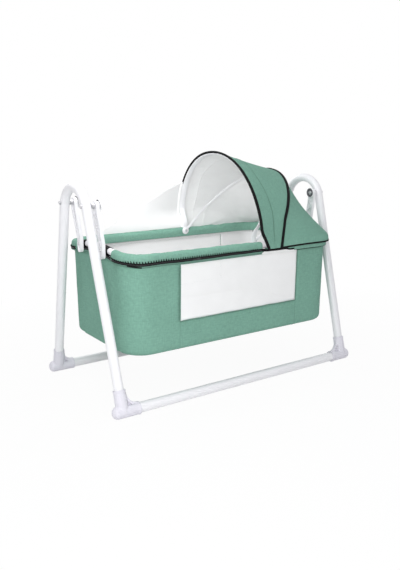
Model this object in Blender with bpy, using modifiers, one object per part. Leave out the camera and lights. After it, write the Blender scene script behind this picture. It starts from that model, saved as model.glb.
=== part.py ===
"""Portable baby cradle: a fabric bassinet hung on four swinging arms between two tube arches.

+X runs along the cradle to its hood end, +Y to the back, +Z up. The origin lies on the floor,
midway between the arches. All lengths are in metres.
"""

from math import acos, atan2, cos, degrees, hypot, pi, radians, sin, sqrt

import bmesh
import bpy
from mathutils import Matrix, Vector

# Clearances and mesh settings
GAP = 0.0003
OVERRUN = 0.004
WELD = 0.00001
ROUND_SIDES = 12
SMALL_SIDES = 10
TUBE_RESOLUTION = 4

# Stand: two tube arches joined by two floor rails
LEG_RADIUS = 0.0165
LEG_WALL = 0.0012
RAIL_RADIUS = 0.0175
RAIL_WALL = 0.0012
FOOT_BEYOND_RIM = 0.053
FOOT_BEYOND_SIDE = 0.025
ARCH_TOP_Z = 0.7224
ARCH_BEND_SHARE = 0.352453
ARCH_LEAN = 0.0195
ARCH_BEND_STEPS = 12
LEG_FOOT_LIFT = 0.010
RAIL_END_INSET = 0.030

# Corner shoe
SHOE_WALL = 0.0032
SHOE_SOLE_CUT = 0.0007
SHOE_RAIL_REACH = 0.060
SHOE_TIP_REACH = 0.037
SHOE_NOSE_LENGTH = 0.016
SHOE_SOCKET_HEIGHT = 0.069
SHOE_LEG_FLARE = 0.002
SHOE_WEB_THICKNESS = 0.014
SHOE_WEB_FLOOR = 0.004
SHOE_WEB_BORDER = 0.004
SHOE_WEB_REACH = 0.054
SHOE_WEB_HEIGHT = 0.062
SHOE_RIB_THICKNESS = 0.0026
SHOE_COLLAR_HEIGHT = 0.006
SHOE_COLLAR_STEP = 0.0012

# Upper pivot of each hanger arm
PIVOT_Z = 0.666
BOLT_RADIUS = 0.004
BOLT_HEAD_RADIUS = 0.0065
BOLT_HEAD_HEIGHT = 0.0065
BOLT_NUT_HEIGHT = 0.0055
SPACER_LENGTH = 0.0123
SPACER_RADIUS = 0.009
BEARING_RADIUS = 0.011
BEARING_WIDTH = 0.007
BEARING_LIP_RADIUS = 0.0075
CAP_RADIUS = 0.0195
CAP_HEIGHT = 0.006
CAP_HOLE_RADIUS = 0.0078
CAP_RIM_WIDTH = 0.004
CAP_DISH_DEPTH = 0.002

# Hanger arm, a moulding with ribs on both faces of a middle web
ARM_THICKNESS = 0.012
ARM_HEAD_RADIUS = 0.0155
ARM_FOOT_RADIUS = 0.0130
ARM_TAIL_LENGTH = 0.0170
ARM_WEB = 0.0026
ARM_BORDER = 0.0024
ARM_RIB_THICKNESS = 0.0022
ARM_WINDOW_LENGTH = 0.016
ARM_BAYS = 5
ARM_FOOT_BOSS_RADIUS = 0.0075
ARM_FLAT_LENGTH = 0.022
ARM_END_STEPS = 10

# Lower pin, which carries the rim tube
PIN_RADIUS = 0.003
PIN_HEAD_RADIUS = 0.0055
PIN_HEAD_HEIGHT = 0.0035
PIN_SHOULDER_RADIUS = 0.0085
PIN_SHOULDER_LENGTH = 0.0024
PIN_NUT_HEIGHT = 0.005

# Rim tube of the bassinet, which arches up at both ends
RIM_RADIUS = 0.011
RIM_WALL = 0.001
RIM_HALF_LENGTH = 0.447
RIM_HALF_WIDTH = 0.240
RIM_CORNER_SHARE = 0.3541667
RIM_Z = 0.504
RIM_RISE = 0.020
RIM_CORNER_STEPS = 5
RIM_RESOLUTION = 3

# Padded cuffs that wrap the rim
CUFF_PADDING = 0.0032
CUFF_DROP_OUTSIDE = 0.0215
CUFF_DROP_INSIDE = 0.0205
CUFF_TUCK = 0.006
CUFF_END_BEYOND_ARM = 0.04924
CUFF_NEAR_STOP_AFTER_HUB = 0.016
CUFF_NEAR_START_AFTER_HUB = 0.049
CUFF_EYELET_RADIUS = 0.0100
CUFF_STEPS = 6

# Hanging tabs between the rim and the basket, one behind each arm
TAB_WIDTH = 0.040
TAB_THICKNESS = 0.0012
TAB_TUBE_CLEARANCE = 0.0014
TAB_TAIL_THICKNESS = 0.0024
TAB_EYELET_RADIUS = 0.0092

# Fabric basket
BASKET_OFFSET = 0.004
BASKET_TOP_Z = 0.478
BASKET_BOTTOM_Z = 0.175
BASKET_TAPER_LENGTH = 0.002
BASKET_TAPER_WIDTH = 0.006
BASKET_FABRIC = 0.003
BASKET_EDGE_RADIUS = 0.018
LINING_FABRIC = 0.001
WINDOW_END_MARGIN = 0.185
WINDOW_SILL_Z = 0.276
WINDOW_HEAD_Z = 0.4735
WINDOW_MESH = 0.0012

# Zip around the basket's top edge
ZIP_HEIGHT = 0.0072
ZIP_THICKNESS = 0.0026
ZIP_SLIDER_INSET = 0.247
ZIP_SLIDER_LENGTH = 0.012
ZIP_SLIDER_HEIGHT = 0.0066
ZIP_SLIDER_THICKNESS = 0.0022
ZIP_PULL_LENGTH = 0.026
ZIP_PULL_WIDTH = 0.006
ZIP_PULL_THICKNESS = 0.0015

# Base board and mattress
BOARD_THICKNESS = 0.004
BOARD_INSET = 0.026
MATTRESS_THICKNESS = 0.042
MATTRESS_CROWN = 0.007
MATTRESS_CLEARANCE = 0.003
MATTRESS_DRAW_IN = 0.004
MATTRESS_FOOT_INSET = 0.010
MATTRESS_CORNER_STEPS = 5

# Hood bows, which turn on one pin at each side
HUB_FROM_END = 0.380
HUB_Z = 0.508
HUB_PIN_RADIUS = 0.0028
HUB_COLLAR_RADIUS = 0.0085
HUB_HEAD_RADIUS = 0.0055
HUB_HEAD_HEIGHT = 0.0024
BOW_THICKNESS = 0.0024
BOW_STRIP_THICKNESS = 0.0018
FRONT_BOW_SLOPE = 0.26
FRONT_BOW_WIDTH = 0.022
FRONT_BOW_EYE_RADIUS = 0.0155
MIDDLE_BOW_WIDTH = 0.010
MIDDLE_BOW_EYE_RADIUS = 0.0105
BOW_STEPS = 14

# Hood fabric over the bows
HOOD_FABRIC = 0.003
HOOD_BOW_GAP = 0.0014
HOOD_CUFF_GAP = 0.0004
HOOD_STEPS = 13
HOOD_FRONT_LEAN = 0.0237
HOOD_FRONT_HEIGHT = 0.329
HOOD_FRONT_OVERHANG = 0.035
HOOD_FRONT_POWER_SHARE = 2.09
HOOD_FRONT_KNEE_Z = 0.552
HOOD_FRONT_FOOT_AFTER_HUB = 0.042
HOOD_FRONT_FOOT_Z = 0.4985
HOOD_MIDDLE_AFTER_HUB = 0.048
HOOD_MIDDLE_TILT_SHARE = 0.687
HOOD_MIDDLE_REACH = 0.329
HOOD_MIDDLE_OVERHANG = 0.034
HOOD_MIDDLE_POWER_SHARE = 1.849
HOOD_MIDDLE_KNEE_Z = 0.600
HOOD_MIDDLE_FOOT_AFTER_HUB = 0.103
HOOD_HEM_Z = 0.4925
HOOD_SEAM_GAP = 0.0034
HOOD_REAR_START_AFTER_HUB = 0.109
HOOD_NOTCH_BEYOND_ARM = 0.02274
HOOD_NOTCH_BLEND = 0.0215
FRONT_BOW_SETTLE_START = 0.028
FRONT_BOW_SETTLE_HEIGHT = 0.072
MIDDLE_BOW_SETTLE_START = 0.024
MIDDLE_BOW_SETTLE_HEIGHT = 0.085
MIDDLE_BOW_CLEARANCE = 0.0035
MIDDLE_BOW_BEND_HEIGHT = 0.120

# Mosquito net, stretched from the far rim to the front bow
NET_FABRIC = 0.0008
NET_LEFT_INSET = 0.117
NET_TOP_Z = 0.709
NET_LIFT = 0.0004
NET_SETTLE_HEIGHT = 0.080
NET_BOW_GAP = 0.0008
NET_COLUMNS = 10
NET_ROWS = 6

# Lengths that follow from the rim and the hub
FOOT_HALF_LENGTH = RIM_HALF_LENGTH + FOOT_BEYOND_RIM
FOOT_HALF_WIDTH = RIM_HALF_WIDTH + FOOT_BEYOND_SIDE
ARCH_BEND_RADIUS = FOOT_HALF_WIDTH * ARCH_BEND_SHARE
RIM_CORNER_RADIUS = RIM_HALF_WIDTH * RIM_CORNER_SHARE
HUB_X = RIM_HALF_LENGTH - HUB_FROM_END
CUFF_NEAR_STOP_X = HUB_X + CUFF_NEAR_STOP_AFTER_HUB
CUFF_NEAR_START_X = HUB_X + CUFF_NEAR_START_AFTER_HUB
WINDOW_HALF_LENGTH = RIM_HALF_LENGTH - WINDOW_END_MARGIN
ZIP_SLIDER_X = -RIM_HALF_LENGTH + ZIP_SLIDER_INSET
HOOD_FRONT_HALF_WIDTH = RIM_HALF_WIDTH + HOOD_FRONT_OVERHANG
HOOD_FRONT_FOOT_X = HUB_X + HOOD_FRONT_FOOT_AFTER_HUB
HOOD_MIDDLE_X = HUB_X + HOOD_MIDDLE_AFTER_HUB
HOOD_MIDDLE_HALF_WIDTH = RIM_HALF_WIDTH + HOOD_MIDDLE_OVERHANG
HOOD_MIDDLE_FOOT_X = HUB_X + HOOD_MIDDLE_FOOT_AFTER_HUB
HOOD_REAR_START_X = HUB_X + HOOD_REAR_START_AFTER_HUB
NET_LEFT_X = -RIM_HALF_LENGTH + NET_LEFT_INSET

PARTS = None
CUTTERS = None


def clear_scene():
    for obj in list(bpy.data.objects):
        bpy.data.objects.remove(obj)


def make_collections():
    """The cradle's pieces in one collection, the cutting shapes in another."""
    global PARTS, CUTTERS
    PARTS = bpy.data.collections.new("baby_cradle")
    CUTTERS = bpy.data.collections.new("cutters")
    for collection in (PARTS, CUTTERS):
        bpy.context.scene.collection.children.link(collection)
    CUTTERS.hide_render = True


def make_material(name, colour, roughness, metallic=0.0):
    material = bpy.data.materials.new(name)
    material.use_nodes = True
    shader = material.node_tree.nodes["Principled BSDF"]
    shader.inputs["Base Color"].default_value = (*colour, 1.0)
    shader.inputs["Roughness"].default_value = roughness
    shader.inputs["Metallic"].default_value = metallic
    material.diffuse_color = (*colour, 1.0)
    return material


def dress(obj, finish):
    """Gives the object a material of its own, named for it, in one of the finishes below."""
    obj.data.materials.clear()
    obj.data.materials.append(make_material(obj.name + "_finish", *finish))
    if obj.type == "MESH":
        obj.data.shade_smooth()
        obj.data.set_sharp_from_angle(angle=radians(35))


WHITE_STEEL = ((0.87, 0.87, 0.88), 0.28)
BRIGHT_STEEL = ((0.60, 0.60, 0.62), 0.30, 1.0)
GREY_PLASTIC = ((0.78, 0.77, 0.82), 0.42)
WHITE_PLASTIC = ((0.86, 0.86, 0.88), 0.36)
DARK_PLASTIC = ((0.07, 0.07, 0.08), 0.45)
GREEN_FABRIC = ((0.18, 0.40, 0.31), 0.90)
WHITE_FABRIC = ((0.86, 0.86, 0.86), 0.92)
WHITE_NET = ((0.90, 0.90, 0.90), 0.85)
BLACK_WEBBING = ((0.012, 0.012, 0.014), 0.80)
FIBREBOARD = ((0.42, 0.30, 0.19), 0.85)


def object_from(name, mesh, finish=None, collection=None):
    obj = bpy.data.objects.new(name, mesh)
    (collection or PARTS).objects.link(obj)
    if finish:
        dress(obj, finish)
    return obj


def object_from_bmesh(name, bm, finish=None, collection=None):
    mesh = bpy.data.meshes.new(name)
    bm.to_mesh(mesh)
    bm.free()
    return object_from(name, mesh, finish, collection)


def baked(obj):
    """Replaces the object by a mesh object with its modifiers applied and its seams welded."""
    bpy.context.view_layer.update()
    graph = bpy.context.evaluated_depsgraph_get()
    mesh = bpy.data.meshes.new_from_object(obj.evaluated_get(graph))
    name, matrix, collection = obj.name, obj.matrix_world.copy(), obj.users_collection[0]
    bpy.data.objects.remove(obj)
    bm = bmesh.new()
    bm.from_mesh(mesh)
    bmesh.ops.remove_doubles(bm, verts=bm.verts, dist=WELD)
    bm.to_mesh(mesh)
    bm.free()
    fresh = object_from(name, mesh, collection=collection)
    fresh.matrix_world = matrix
    return fresh


def face_outward(obj):
    """Turns every face of a closed mesh outward."""
    bm = bmesh.new()
    bm.from_mesh(obj.data)
    bmesh.ops.recalc_face_normals(bm, faces=bm.faces)
    if bm.calc_volume(signed=True) < 0:
        bmesh.ops.reverse_faces(bm, faces=bm.faces)
    bm.to_mesh(obj.data)
    bm.free()


def combine(obj, other, operation):
    """Adds an exact Boolean of the other shape, which becomes a hidden cutter."""
    if other.name not in CUTTERS.objects:
        for collection in other.users_collection:
            collection.objects.unlink(other)
        CUTTERS.objects.link(other)
    other.hide_render = True
    other.display_type = "WIRE"
    modifier = obj.modifiers.new(operation.lower(), "BOOLEAN")
    modifier.operation = operation
    modifier.solver = "EXACT"
    modifier.object = other


def join(obj, *others):
    for other in others:
        combine(obj, other, "UNION")


def cut(obj, *others):
    for other in others:
        combine(obj, other, "DIFFERENCE")


def rod(name, start, end, radius, end_radius=None, sides=ROUND_SIDES, finish=None):
    """A closed cylinder, or a cone frustum, between two points."""
    start, end = Vector(start), Vector(end)
    turn = (end - start).to_track_quat("Z", "Y").to_matrix().to_4x4()
    bm = bmesh.new()
    bmesh.ops.create_cone(
        bm,
        cap_ends=True,
        segments=sides,
        radius1=radius,
        radius2=radius if end_radius is None else end_radius,
        depth=(end - start).length,
        matrix=Matrix.Translation((start + end) / 2) @ turn,
    )
    return object_from_bmesh(name, bm, finish)


def block(name, low, high, finish=None):
    """A closed box between two corners."""
    low, high = Vector(low), Vector(high)
    size = high - low
    bm = bmesh.new()
    stretch = Matrix.Diagonal((*size, 1.0))
    bmesh.ops.create_cube(bm, size=1.0, matrix=Matrix.Translation((low + high) / 2) @ stretch)
    return object_from_bmesh(name, bm, finish)


def turned_along_x(name, profile, sides, finish=None):
    """A turned piece around the X axis from (x, radius) points, both ends on the axis or a closed ring."""
    mesh = bpy.data.meshes.new(name)
    points = [(radius, 0.0, x) for x, radius in profile]
    edges = [(i, i + 1) for i in range(len(points) - 1)]
    if profile[0][1] > 0:
        edges.append((len(points) - 1, 0))
    mesh.from_pydata(points, edges, [])
    obj = object_from(name, mesh)
    screw = obj.modifiers.new("turn", "SCREW")
    screw.angle = 2 * pi
    screw.steps = sides
    screw.render_steps = sides
    screw.use_merge_vertices = True
    screw.merge_threshold = WELD
    obj.matrix_world = Matrix.Rotation(pi / 2, 4, "Y")
    obj = baked(obj)
    obj.data.transform(obj.matrix_world)
    obj.matrix_world = Matrix.Identity(4)
    face_outward(obj)
    if finish:
        dress(obj, finish)
    return obj


def tube(name, path, radius, resolution, wall=None, cyclic=False, finish=None):
    """A round tube along a path: solid with filled ends, or hollow with open ends when it has a wall."""
    curve = bpy.data.curves.new(name, "CURVE")
    curve.dimensions = "3D"
    curve.twist_mode = "Z_UP" if cyclic else "MINIMUM"
    curve.bevel_depth = radius
    curve.bevel_resolution = resolution
    curve.use_fill_caps = wall is None
    spline = curve.splines.new("POLY")
    spline.points.add(len(path) - 1)
    for point, place in zip(spline.points, path):
        point.co = (*place, 1.0)
    spline.use_cyclic_u = cyclic
    obj = baked(object_from(name, curve))
    if wall is not None:
        shell = obj.modifiers.new("wall", "SOLIDIFY")
        shell.thickness = wall
        shell.offset = -1.0
        obj = baked(obj)
    if finish:
        dress(obj, finish)
    return obj


def swept(name, path, profile, cyclic=False, finish=None):
    """A band swept along a level path: profile points are (to the right of travel, up)."""
    outline = bpy.data.curves.new(name + "_profile", "CURVE")
    outline.dimensions = "2D"
    spline = outline.splines.new("POLY")
    spline.points.add(len(profile) - 1)
    for point, (across, up) in zip(spline.points, profile):
        point.co = (across, up, 0.0, 1.0)
    spline.use_cyclic_u = True
    guide = object_from(name + "_profile", outline, collection=CUTTERS)
    guide.hide_render = True
    curve = bpy.data.curves.new(name, "CURVE")
    curve.dimensions = "3D"
    curve.twist_mode = "Z_UP"
    curve.bevel_mode = "OBJECT"
    curve.bevel_object = guide
    curve.use_fill_caps = not cyclic
    spline = curve.splines.new("POLY")
    spline.points.add(len(path) - 1)
    for point, place in zip(spline.points, path):
        point.co = (*place, 1.0)
    spline.use_cyclic_u = cyclic
    obj = baked(object_from(name, curve))
    bpy.data.objects.remove(guide)
    face_outward(obj)
    if finish:
        dress(obj, finish)
    return obj


def flat_plate(name, outlines, thickness, frame, finish=None):
    """Flat outlines extruded to both sides of their plane, placed by a frame matrix."""
    curve = bpy.data.curves.new(name, "CURVE")
    curve.dimensions = "2D"
    curve.fill_mode = "BOTH"
    curve.extrude = thickness / 2
    for outline in outlines:
        spline = curve.splines.new("POLY")
        spline.points.add(len(outline) - 1)
        for point, (across, up) in zip(spline.points, outline):
            point.co = (across, up, 0.0, 1.0)
        spline.use_cyclic_u = True
    obj = baked(object_from(name, curve))
    obj.data.transform(frame)
    face_outward(obj)
    if finish:
        dress(obj, finish)
    return obj


def loft(name, rings, finish=None, closed_ends=True):
    """Skins a row of rings that have the same number of points."""
    bm = bmesh.new()
    rows = [[bm.verts.new(point) for point in ring] for ring in rings]
    count = len(rings[0])
    for lower, upper in zip(rows, rows[1:]):
        for i in range(count):
            j = (i + 1) % count
            bm.faces.new((lower[i], lower[j], upper[j], upper[i]))
    if closed_ends:
        bm.faces.new(reversed(rows[0]))
        bm.faces.new(rows[-1])
    obj = object_from_bmesh(name, bm)
    if closed_ends:
        face_outward(obj)
    if finish:
        dress(obj, finish)
    return obj


def sheet_between(name, rows, thickness, finish=None):
    """A thick sheet over a grid of points: its outer face lies on the grid, on the left of row travel."""
    bm = bmesh.new()
    grid = [[bm.verts.new(point) for point in row] for row in rows]
    for row, following in zip(grid, grid[1:]):
        for i in range(len(row) - 1):
            bm.faces.new((row[i], row[i + 1], following[i + 1], following[i]))
    obj = object_from_bmesh(name, bm)
    shell = obj.modifiers.new("thickness", "SOLIDIFY")
    shell.thickness = thickness
    shell.offset = -1.0
    obj = baked(obj)
    face_outward(obj)
    if finish:
        dress(obj, finish)
    return obj


def four_corners(name, source, place, finish):
    """Sets one piece at all four corners of the cradle. Its mesh is drawn for the rear right corner."""
    source = baked(source)
    face_outward(source)
    mesh = source.data
    bm = bmesh.new()
    bm.from_mesh(mesh)
    bmesh.ops.triangulate(bm, faces=bm.faces)
    bm.to_mesh(mesh)
    bm.free()
    bpy.data.objects.remove(source)
    made = {}
    for depth, side_y in (("front", -1), ("rear", 1)):
        for side, side_x in (("left", -1), ("right", 1)):
            obj = object_from(f"{name}_{depth}_{side}", mesh.copy())
            obj.location = (side_x * place[0], side_y * place[1], place[2])
            obj.scale = (side_x, side_y, 1.0)
            dress(obj, finish)
            made[depth, side] = obj
    return made


def bore(radius, sides=ROUND_SIDES):
    """Corner radius of a faceted bore whose flats clear a round of the given radius."""
    return (radius + GAP) / cos(pi / sides)


def smooth(share):
    share = min(max(share, 0.0), 1.0)
    return share * share * (3 - 2 * share)


def mix(a, b, share):
    return a + (b - a) * share


def arc(centre, radius, start, end, steps):
    """Points of a flat arc, its angles in radians."""
    return [
        (
            centre[0] + radius * cos(mix(start, end, i / steps)),
            centre[1] + radius * sin(mix(start, end, i / steps)),
        )
        for i in range(steps + 1)
    ]


# The stand's own geometry
SHOE_BARREL_RADIUS = RAIL_RADIUS + GAP + SHOE_WALL
SHOE_LEG_RADIUS = LEG_RADIUS + GAP + SHOE_WALL
RAIL_Z = SHOE_BARREL_RADIUS - SHOE_SOLE_CUT
ARCH_CENTRE_Z = ARCH_TOP_Z - ARCH_BEND_RADIUS
LEG_SPLAY = acos(
    ARCH_BEND_RADIUS / hypot(FOOT_HALF_WIDTH, ARCH_CENTRE_Z - RAIL_Z)
) - atan2(ARCH_CENTRE_Z - RAIL_Z, FOOT_HALF_WIDTH)


def arch_x(z):
    """Distance of the arch's centre line from the middle of the cradle at a height."""
    return FOOT_HALF_LENGTH + ARCH_LEAN * (z - RAIL_Z) / (ARCH_TOP_Z - RAIL_Z)


def leg_y(z):
    """Distance of a leg's centre line from the middle at a height, straight leg and bend alike."""
    tangent_z = ARCH_CENTRE_Z + ARCH_BEND_RADIUS * sin(LEG_SPLAY)
    if z <= tangent_z:
        tangent_y = ARCH_BEND_RADIUS * cos(LEG_SPLAY)
        return tangent_y + (tangent_z - z) * sin(LEG_SPLAY) / cos(LEG_SPLAY)
    return sqrt(ARCH_BEND_RADIUS**2 - (z - ARCH_CENTRE_Z) ** 2)


def leg_point(z):
    """A point on the rear right leg's centre line."""
    return Vector((arch_x(z), leg_y(z), z))


PIVOT_X = arch_x(PIVOT_Z)
PIVOT_Y = leg_y(PIVOT_Z)
CUFF_END_Y = PIVOT_Y + CUFF_END_BEYOND_ARM
HOOD_NOTCH_Y = PIVOT_Y + HOOD_NOTCH_BEYOND_ARM
ARM_OUTER_X = PIVOT_X - LEG_RADIUS - 2 * GAP - SPACER_LENGTH
ARM_INNER_X = ARM_OUTER_X - ARM_THICKNESS
ARM_FOOT_INNER_X = RIM_HALF_LENGTH + RIM_RADIUS + PIN_SHOULDER_LENGTH + 2 * GAP


def rim_z(y):
    """Height of the rim tube's centre line, which arches up towards the middle of each end."""
    return RIM_Z + RIM_RISE * cos(pi * min(abs(y) / RIM_HALF_WIDTH, 1.0) / 2) ** 2


LOWER_PIN_Z = rim_z(PIVOT_Y)


def rim_path_z(y):
    """Height of the rim's faceted path, whose straight pieces run between its bends."""
    stops = [0.0, PIVOT_Y, CUFF_END_Y, RIM_HALF_WIDTH - RIM_CORNER_RADIUS, RIM_HALF_WIDTH]
    for low, high in zip(stops[:3], stops[1:4]):
        if low <= abs(y) <= high:
            return mix(rim_z(low), rim_z(high), (abs(y) - low) / (high - low))
    return rim_z(y)


def rim_quarter(sign_x, sign_y, offset=0.0, end_ys=None):
    """Points of a quarter of the rim: from the middle of a long side, round the corner, to mid end."""
    length = RIM_HALF_LENGTH + offset
    width = RIM_HALF_WIDTH + offset
    corner = RIM_CORNER_RADIUS + offset
    points = [(0.0, width)]
    points += arc((length - corner, width - corner), corner, pi / 2, 0.0, RIM_CORNER_STEPS)
    if end_ys is None:
        end_ys = (CUFF_END_Y, PIVOT_Y, 0.0)
    points += [(length, y) for y in end_ys]
    return [Vector((sign_x * x, sign_y * y, rim_z(y))) for x, y in points]


def rim_ring(offset=0.0):
    """The whole rim as one closed row of points, travelling with the outside on its left."""
    right_rear = rim_quarter(1, 1, offset)
    right_front = rim_quarter(1, -1, offset)[::-1]
    left_front = rim_quarter(-1, -1, offset)
    left_rear = rim_quarter(-1, 1, offset)[::-1]
    return right_rear + right_front[1:] + left_front[1:] + left_rear[1:-1]


def make_arches():
    for side, sign in (("left", -1), ("right", 1)):
        foot_z = RAIL_Z + LEG_FOOT_LIFT
        bend = arc(
            (0.0, ARCH_CENTRE_Z), ARCH_BEND_RADIUS, LEG_SPLAY, pi - LEG_SPLAY, ARCH_BEND_STEPS
        )
        flat = [(leg_y(foot_z), foot_z)] + bend + [(-leg_y(foot_z), foot_z)]
        path = [(sign * arch_x(z), y, z) for y, z in flat]
        arch = tube(f"arch_{side}", path, LEG_RADIUS, TUBE_RESOLUTION, LEG_WALL)
        for depth in (-1, 1):
            inner = (sign * (PIVOT_X - LEG_RADIUS - OVERRUN), depth * PIVOT_Y, PIVOT_Z)
            outer = (sign * (PIVOT_X + LEG_RADIUS + OVERRUN), depth * PIVOT_Y, PIVOT_Z)
            hole_radius = bore(BOLT_RADIUS, SMALL_SIDES)
            hole = rod(f"arch_{side}_hole_{depth}", inner, outer, hole_radius, sides=SMALL_SIDES)
            cut(arch, hole)
        dress(arch, WHITE_STEEL)


def make_rails():
    half_length = FOOT_HALF_LENGTH - RAIL_END_INSET
    for depth, sign in (("front", -1), ("rear", 1)):
        path = [(x, sign * FOOT_HALF_WIDTH, RAIL_Z) for x in (-half_length, half_length)]
        tube(f"rail_{depth}", path, RAIL_RADIUS, TUBE_RESOLUTION, RAIL_WALL, finish=WHITE_STEEL)


def make_corner_shoes():
    """Moulded shoes: a leg socket, a rail socket with a rounded nose, and a dished web in the corner."""
    foot = leg_point(RAIL_Z)
    top_z = RAIL_Z + SHOE_SOCKET_HEIGHT
    up = (leg_point(top_z) - foot).normalized()
    along = Vector((-1.0, 0.0, 0.0))

    mouth = -SHOE_RAIL_REACH
    nose_start = SHOE_TIP_REACH - SHOE_NOSE_LENGTH
    nose = [
        (nose_start + SHOE_NOSE_LENGTH * x, SHOE_BARREL_RADIUS * y)
        for x, y in arc((0.0, 0.0), 1.0, 0.0, pi / 2, 5)
    ]
    lip = SHOE_BARREL_RADIUS + SHOE_COLLAR_STEP
    profile = [(nose[0][0], 0.0)] + nose[1:] + [
        (mouth + SHOE_COLLAR_HEIGHT + SHOE_COLLAR_STEP, SHOE_BARREL_RADIUS),
        (mouth + SHOE_COLLAR_HEIGHT, lip),
        (mouth, lip),
        (mouth, 0.0),
    ]
    shoe = turned_along_x("corner_shoe", profile, ROUND_SIDES)
    socket = rod(
        "shoe_leg_socket",
        Vector(),
        leg_point(top_z) - foot,
        SHOE_LEG_RADIUS + SHOE_LEG_FLARE,
        SHOE_LEG_RADIUS,
    )
    collar_start = leg_point(top_z - SHOE_COLLAR_HEIGHT) - foot
    collar = rod(
        "shoe_collar", collar_start, leg_point(top_z) - foot, SHOE_LEG_RADIUS + SHOE_COLLAR_STEP
    )

    # The web's outline: along the rail, and up the leg, with a hollow curve between its two tips.
    tip_low = (SHOE_WEB_REACH, SHOE_BARREL_RADIUS / 2)
    tip_high = (SHOE_LEG_RADIUS / 2, SHOE_WEB_HEIGHT)
    hollow = web_hollow(SHOE_WEB_REACH, SHOE_BARREL_RADIUS, SHOE_LEG_RADIUS, SHOE_WEB_HEIGHT)
    outline = [(0.0, 0.0), tip_low] + hollow + [tip_high]
    frame = Matrix((along, up, along.cross(up))).transposed().to_4x4()
    web = flat_plate("shoe_web", [outline], SHOE_WEB_THICKNESS, frame)
    join(shoe, socket, collar, web)

    border = SHOE_WEB_BORDER
    pocket_hollow = web_hollow(
        SHOE_WEB_REACH - 2 * border, SHOE_BARREL_RADIUS, SHOE_LEG_RADIUS, SHOE_WEB_HEIGHT - 2 * border
    )
    pocket_hollow = [(x - border, y - border) for x, y in pocket_hollow]
    pocket_outline = [
        (SHOE_LEG_RADIUS - border, SHOE_BARREL_RADIUS - border),
        (SHOE_WEB_REACH - 3 * border, SHOE_BARREL_RADIUS - border),
        *pocket_hollow,
        (SHOE_LEG_RADIUS - border, SHOE_WEB_HEIGHT - 3 * border),
    ]
    depth = (SHOE_WEB_THICKNESS - SHOE_WEB_FLOOR) / 2
    for side in (-1, 1):
        lift = Matrix.Translation(
            along.cross(up) * side * (SHOE_WEB_FLOOR / 2 + depth / 2 + OVERRUN / 2)
        )
        pocket = flat_plate(f"shoe_pocket_{side}", [pocket_outline], depth + OVERRUN, lift @ frame)
        cut(shoe, pocket)
    rib_end = along * (SHOE_WEB_REACH / 2) + up * (SHOE_WEB_HEIGHT / 2)
    rib = flat_plate(
        "shoe_rib",
        [web_rib(SHOE_LEG_RADIUS / 2, SHOE_BARREL_RADIUS / 2, rib_end, along, up)],
        SHOE_WEB_THICKNESS - 2 * border / 4,
        frame,
    )
    join(shoe, rib)

    leg_bore = rod(
        "shoe_leg_bore",
        leg_point(RAIL_Z + LEG_FOOT_LIFT - GAP) - foot,
        leg_point(top_z + OVERRUN) - foot,
        bore(LEG_RADIUS),
    )
    rail_bore = rod(
        "shoe_rail_bore",
        (-RAIL_END_INSET + GAP, 0.0, 0.0),
        (mouth - OVERRUN, 0.0, 0.0),
        bore(RAIL_RADIUS),
    )
    reach = SHOE_RAIL_REACH + OVERRUN
    sole_low = (-reach, -reach, -RAIL_Z - SHOE_BARREL_RADIUS)
    sole_high = (reach, reach, -RAIL_Z)
    cut(shoe, leg_bore, rail_bore, block("shoe_sole", sole_low, sole_high))
    four_corners("corner_shoe", shoe, foot, GREY_PLASTIC)


def web_hollow(reach, rail_top, leg_side, height):
    """The web's hollow edge, a quarter ellipse from the rail socket to the leg socket."""
    across = reach - leg_side
    rise = height - rail_top
    return [
        (leg_side + across * (1 - cos(angle)), rail_top + rise * (1 - sin(angle)))
        for angle in (radians(90 * i / 6) for i in range(6, -1, -1))
    ]


def web_rib(start_across, start_up, end, along, up):
    """The outline of the thin rib that crosses the web's dish from its inner corner."""
    end_flat = Vector((end.dot(along), end.dot(up)))
    start_flat = Vector((start_across, start_up))
    run = (end_flat - start_flat).normalized() * (
        (end_flat - start_flat).length - SHOE_WEB_BORDER
    )
    side = Vector((-run.y, run.x)).normalized() * SHOE_RIB_THICKNESS / 2
    corners = (start_flat - side, start_flat + run - side, start_flat + run + side, start_flat + side)
    return [tuple(corner) for corner in corners]


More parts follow.
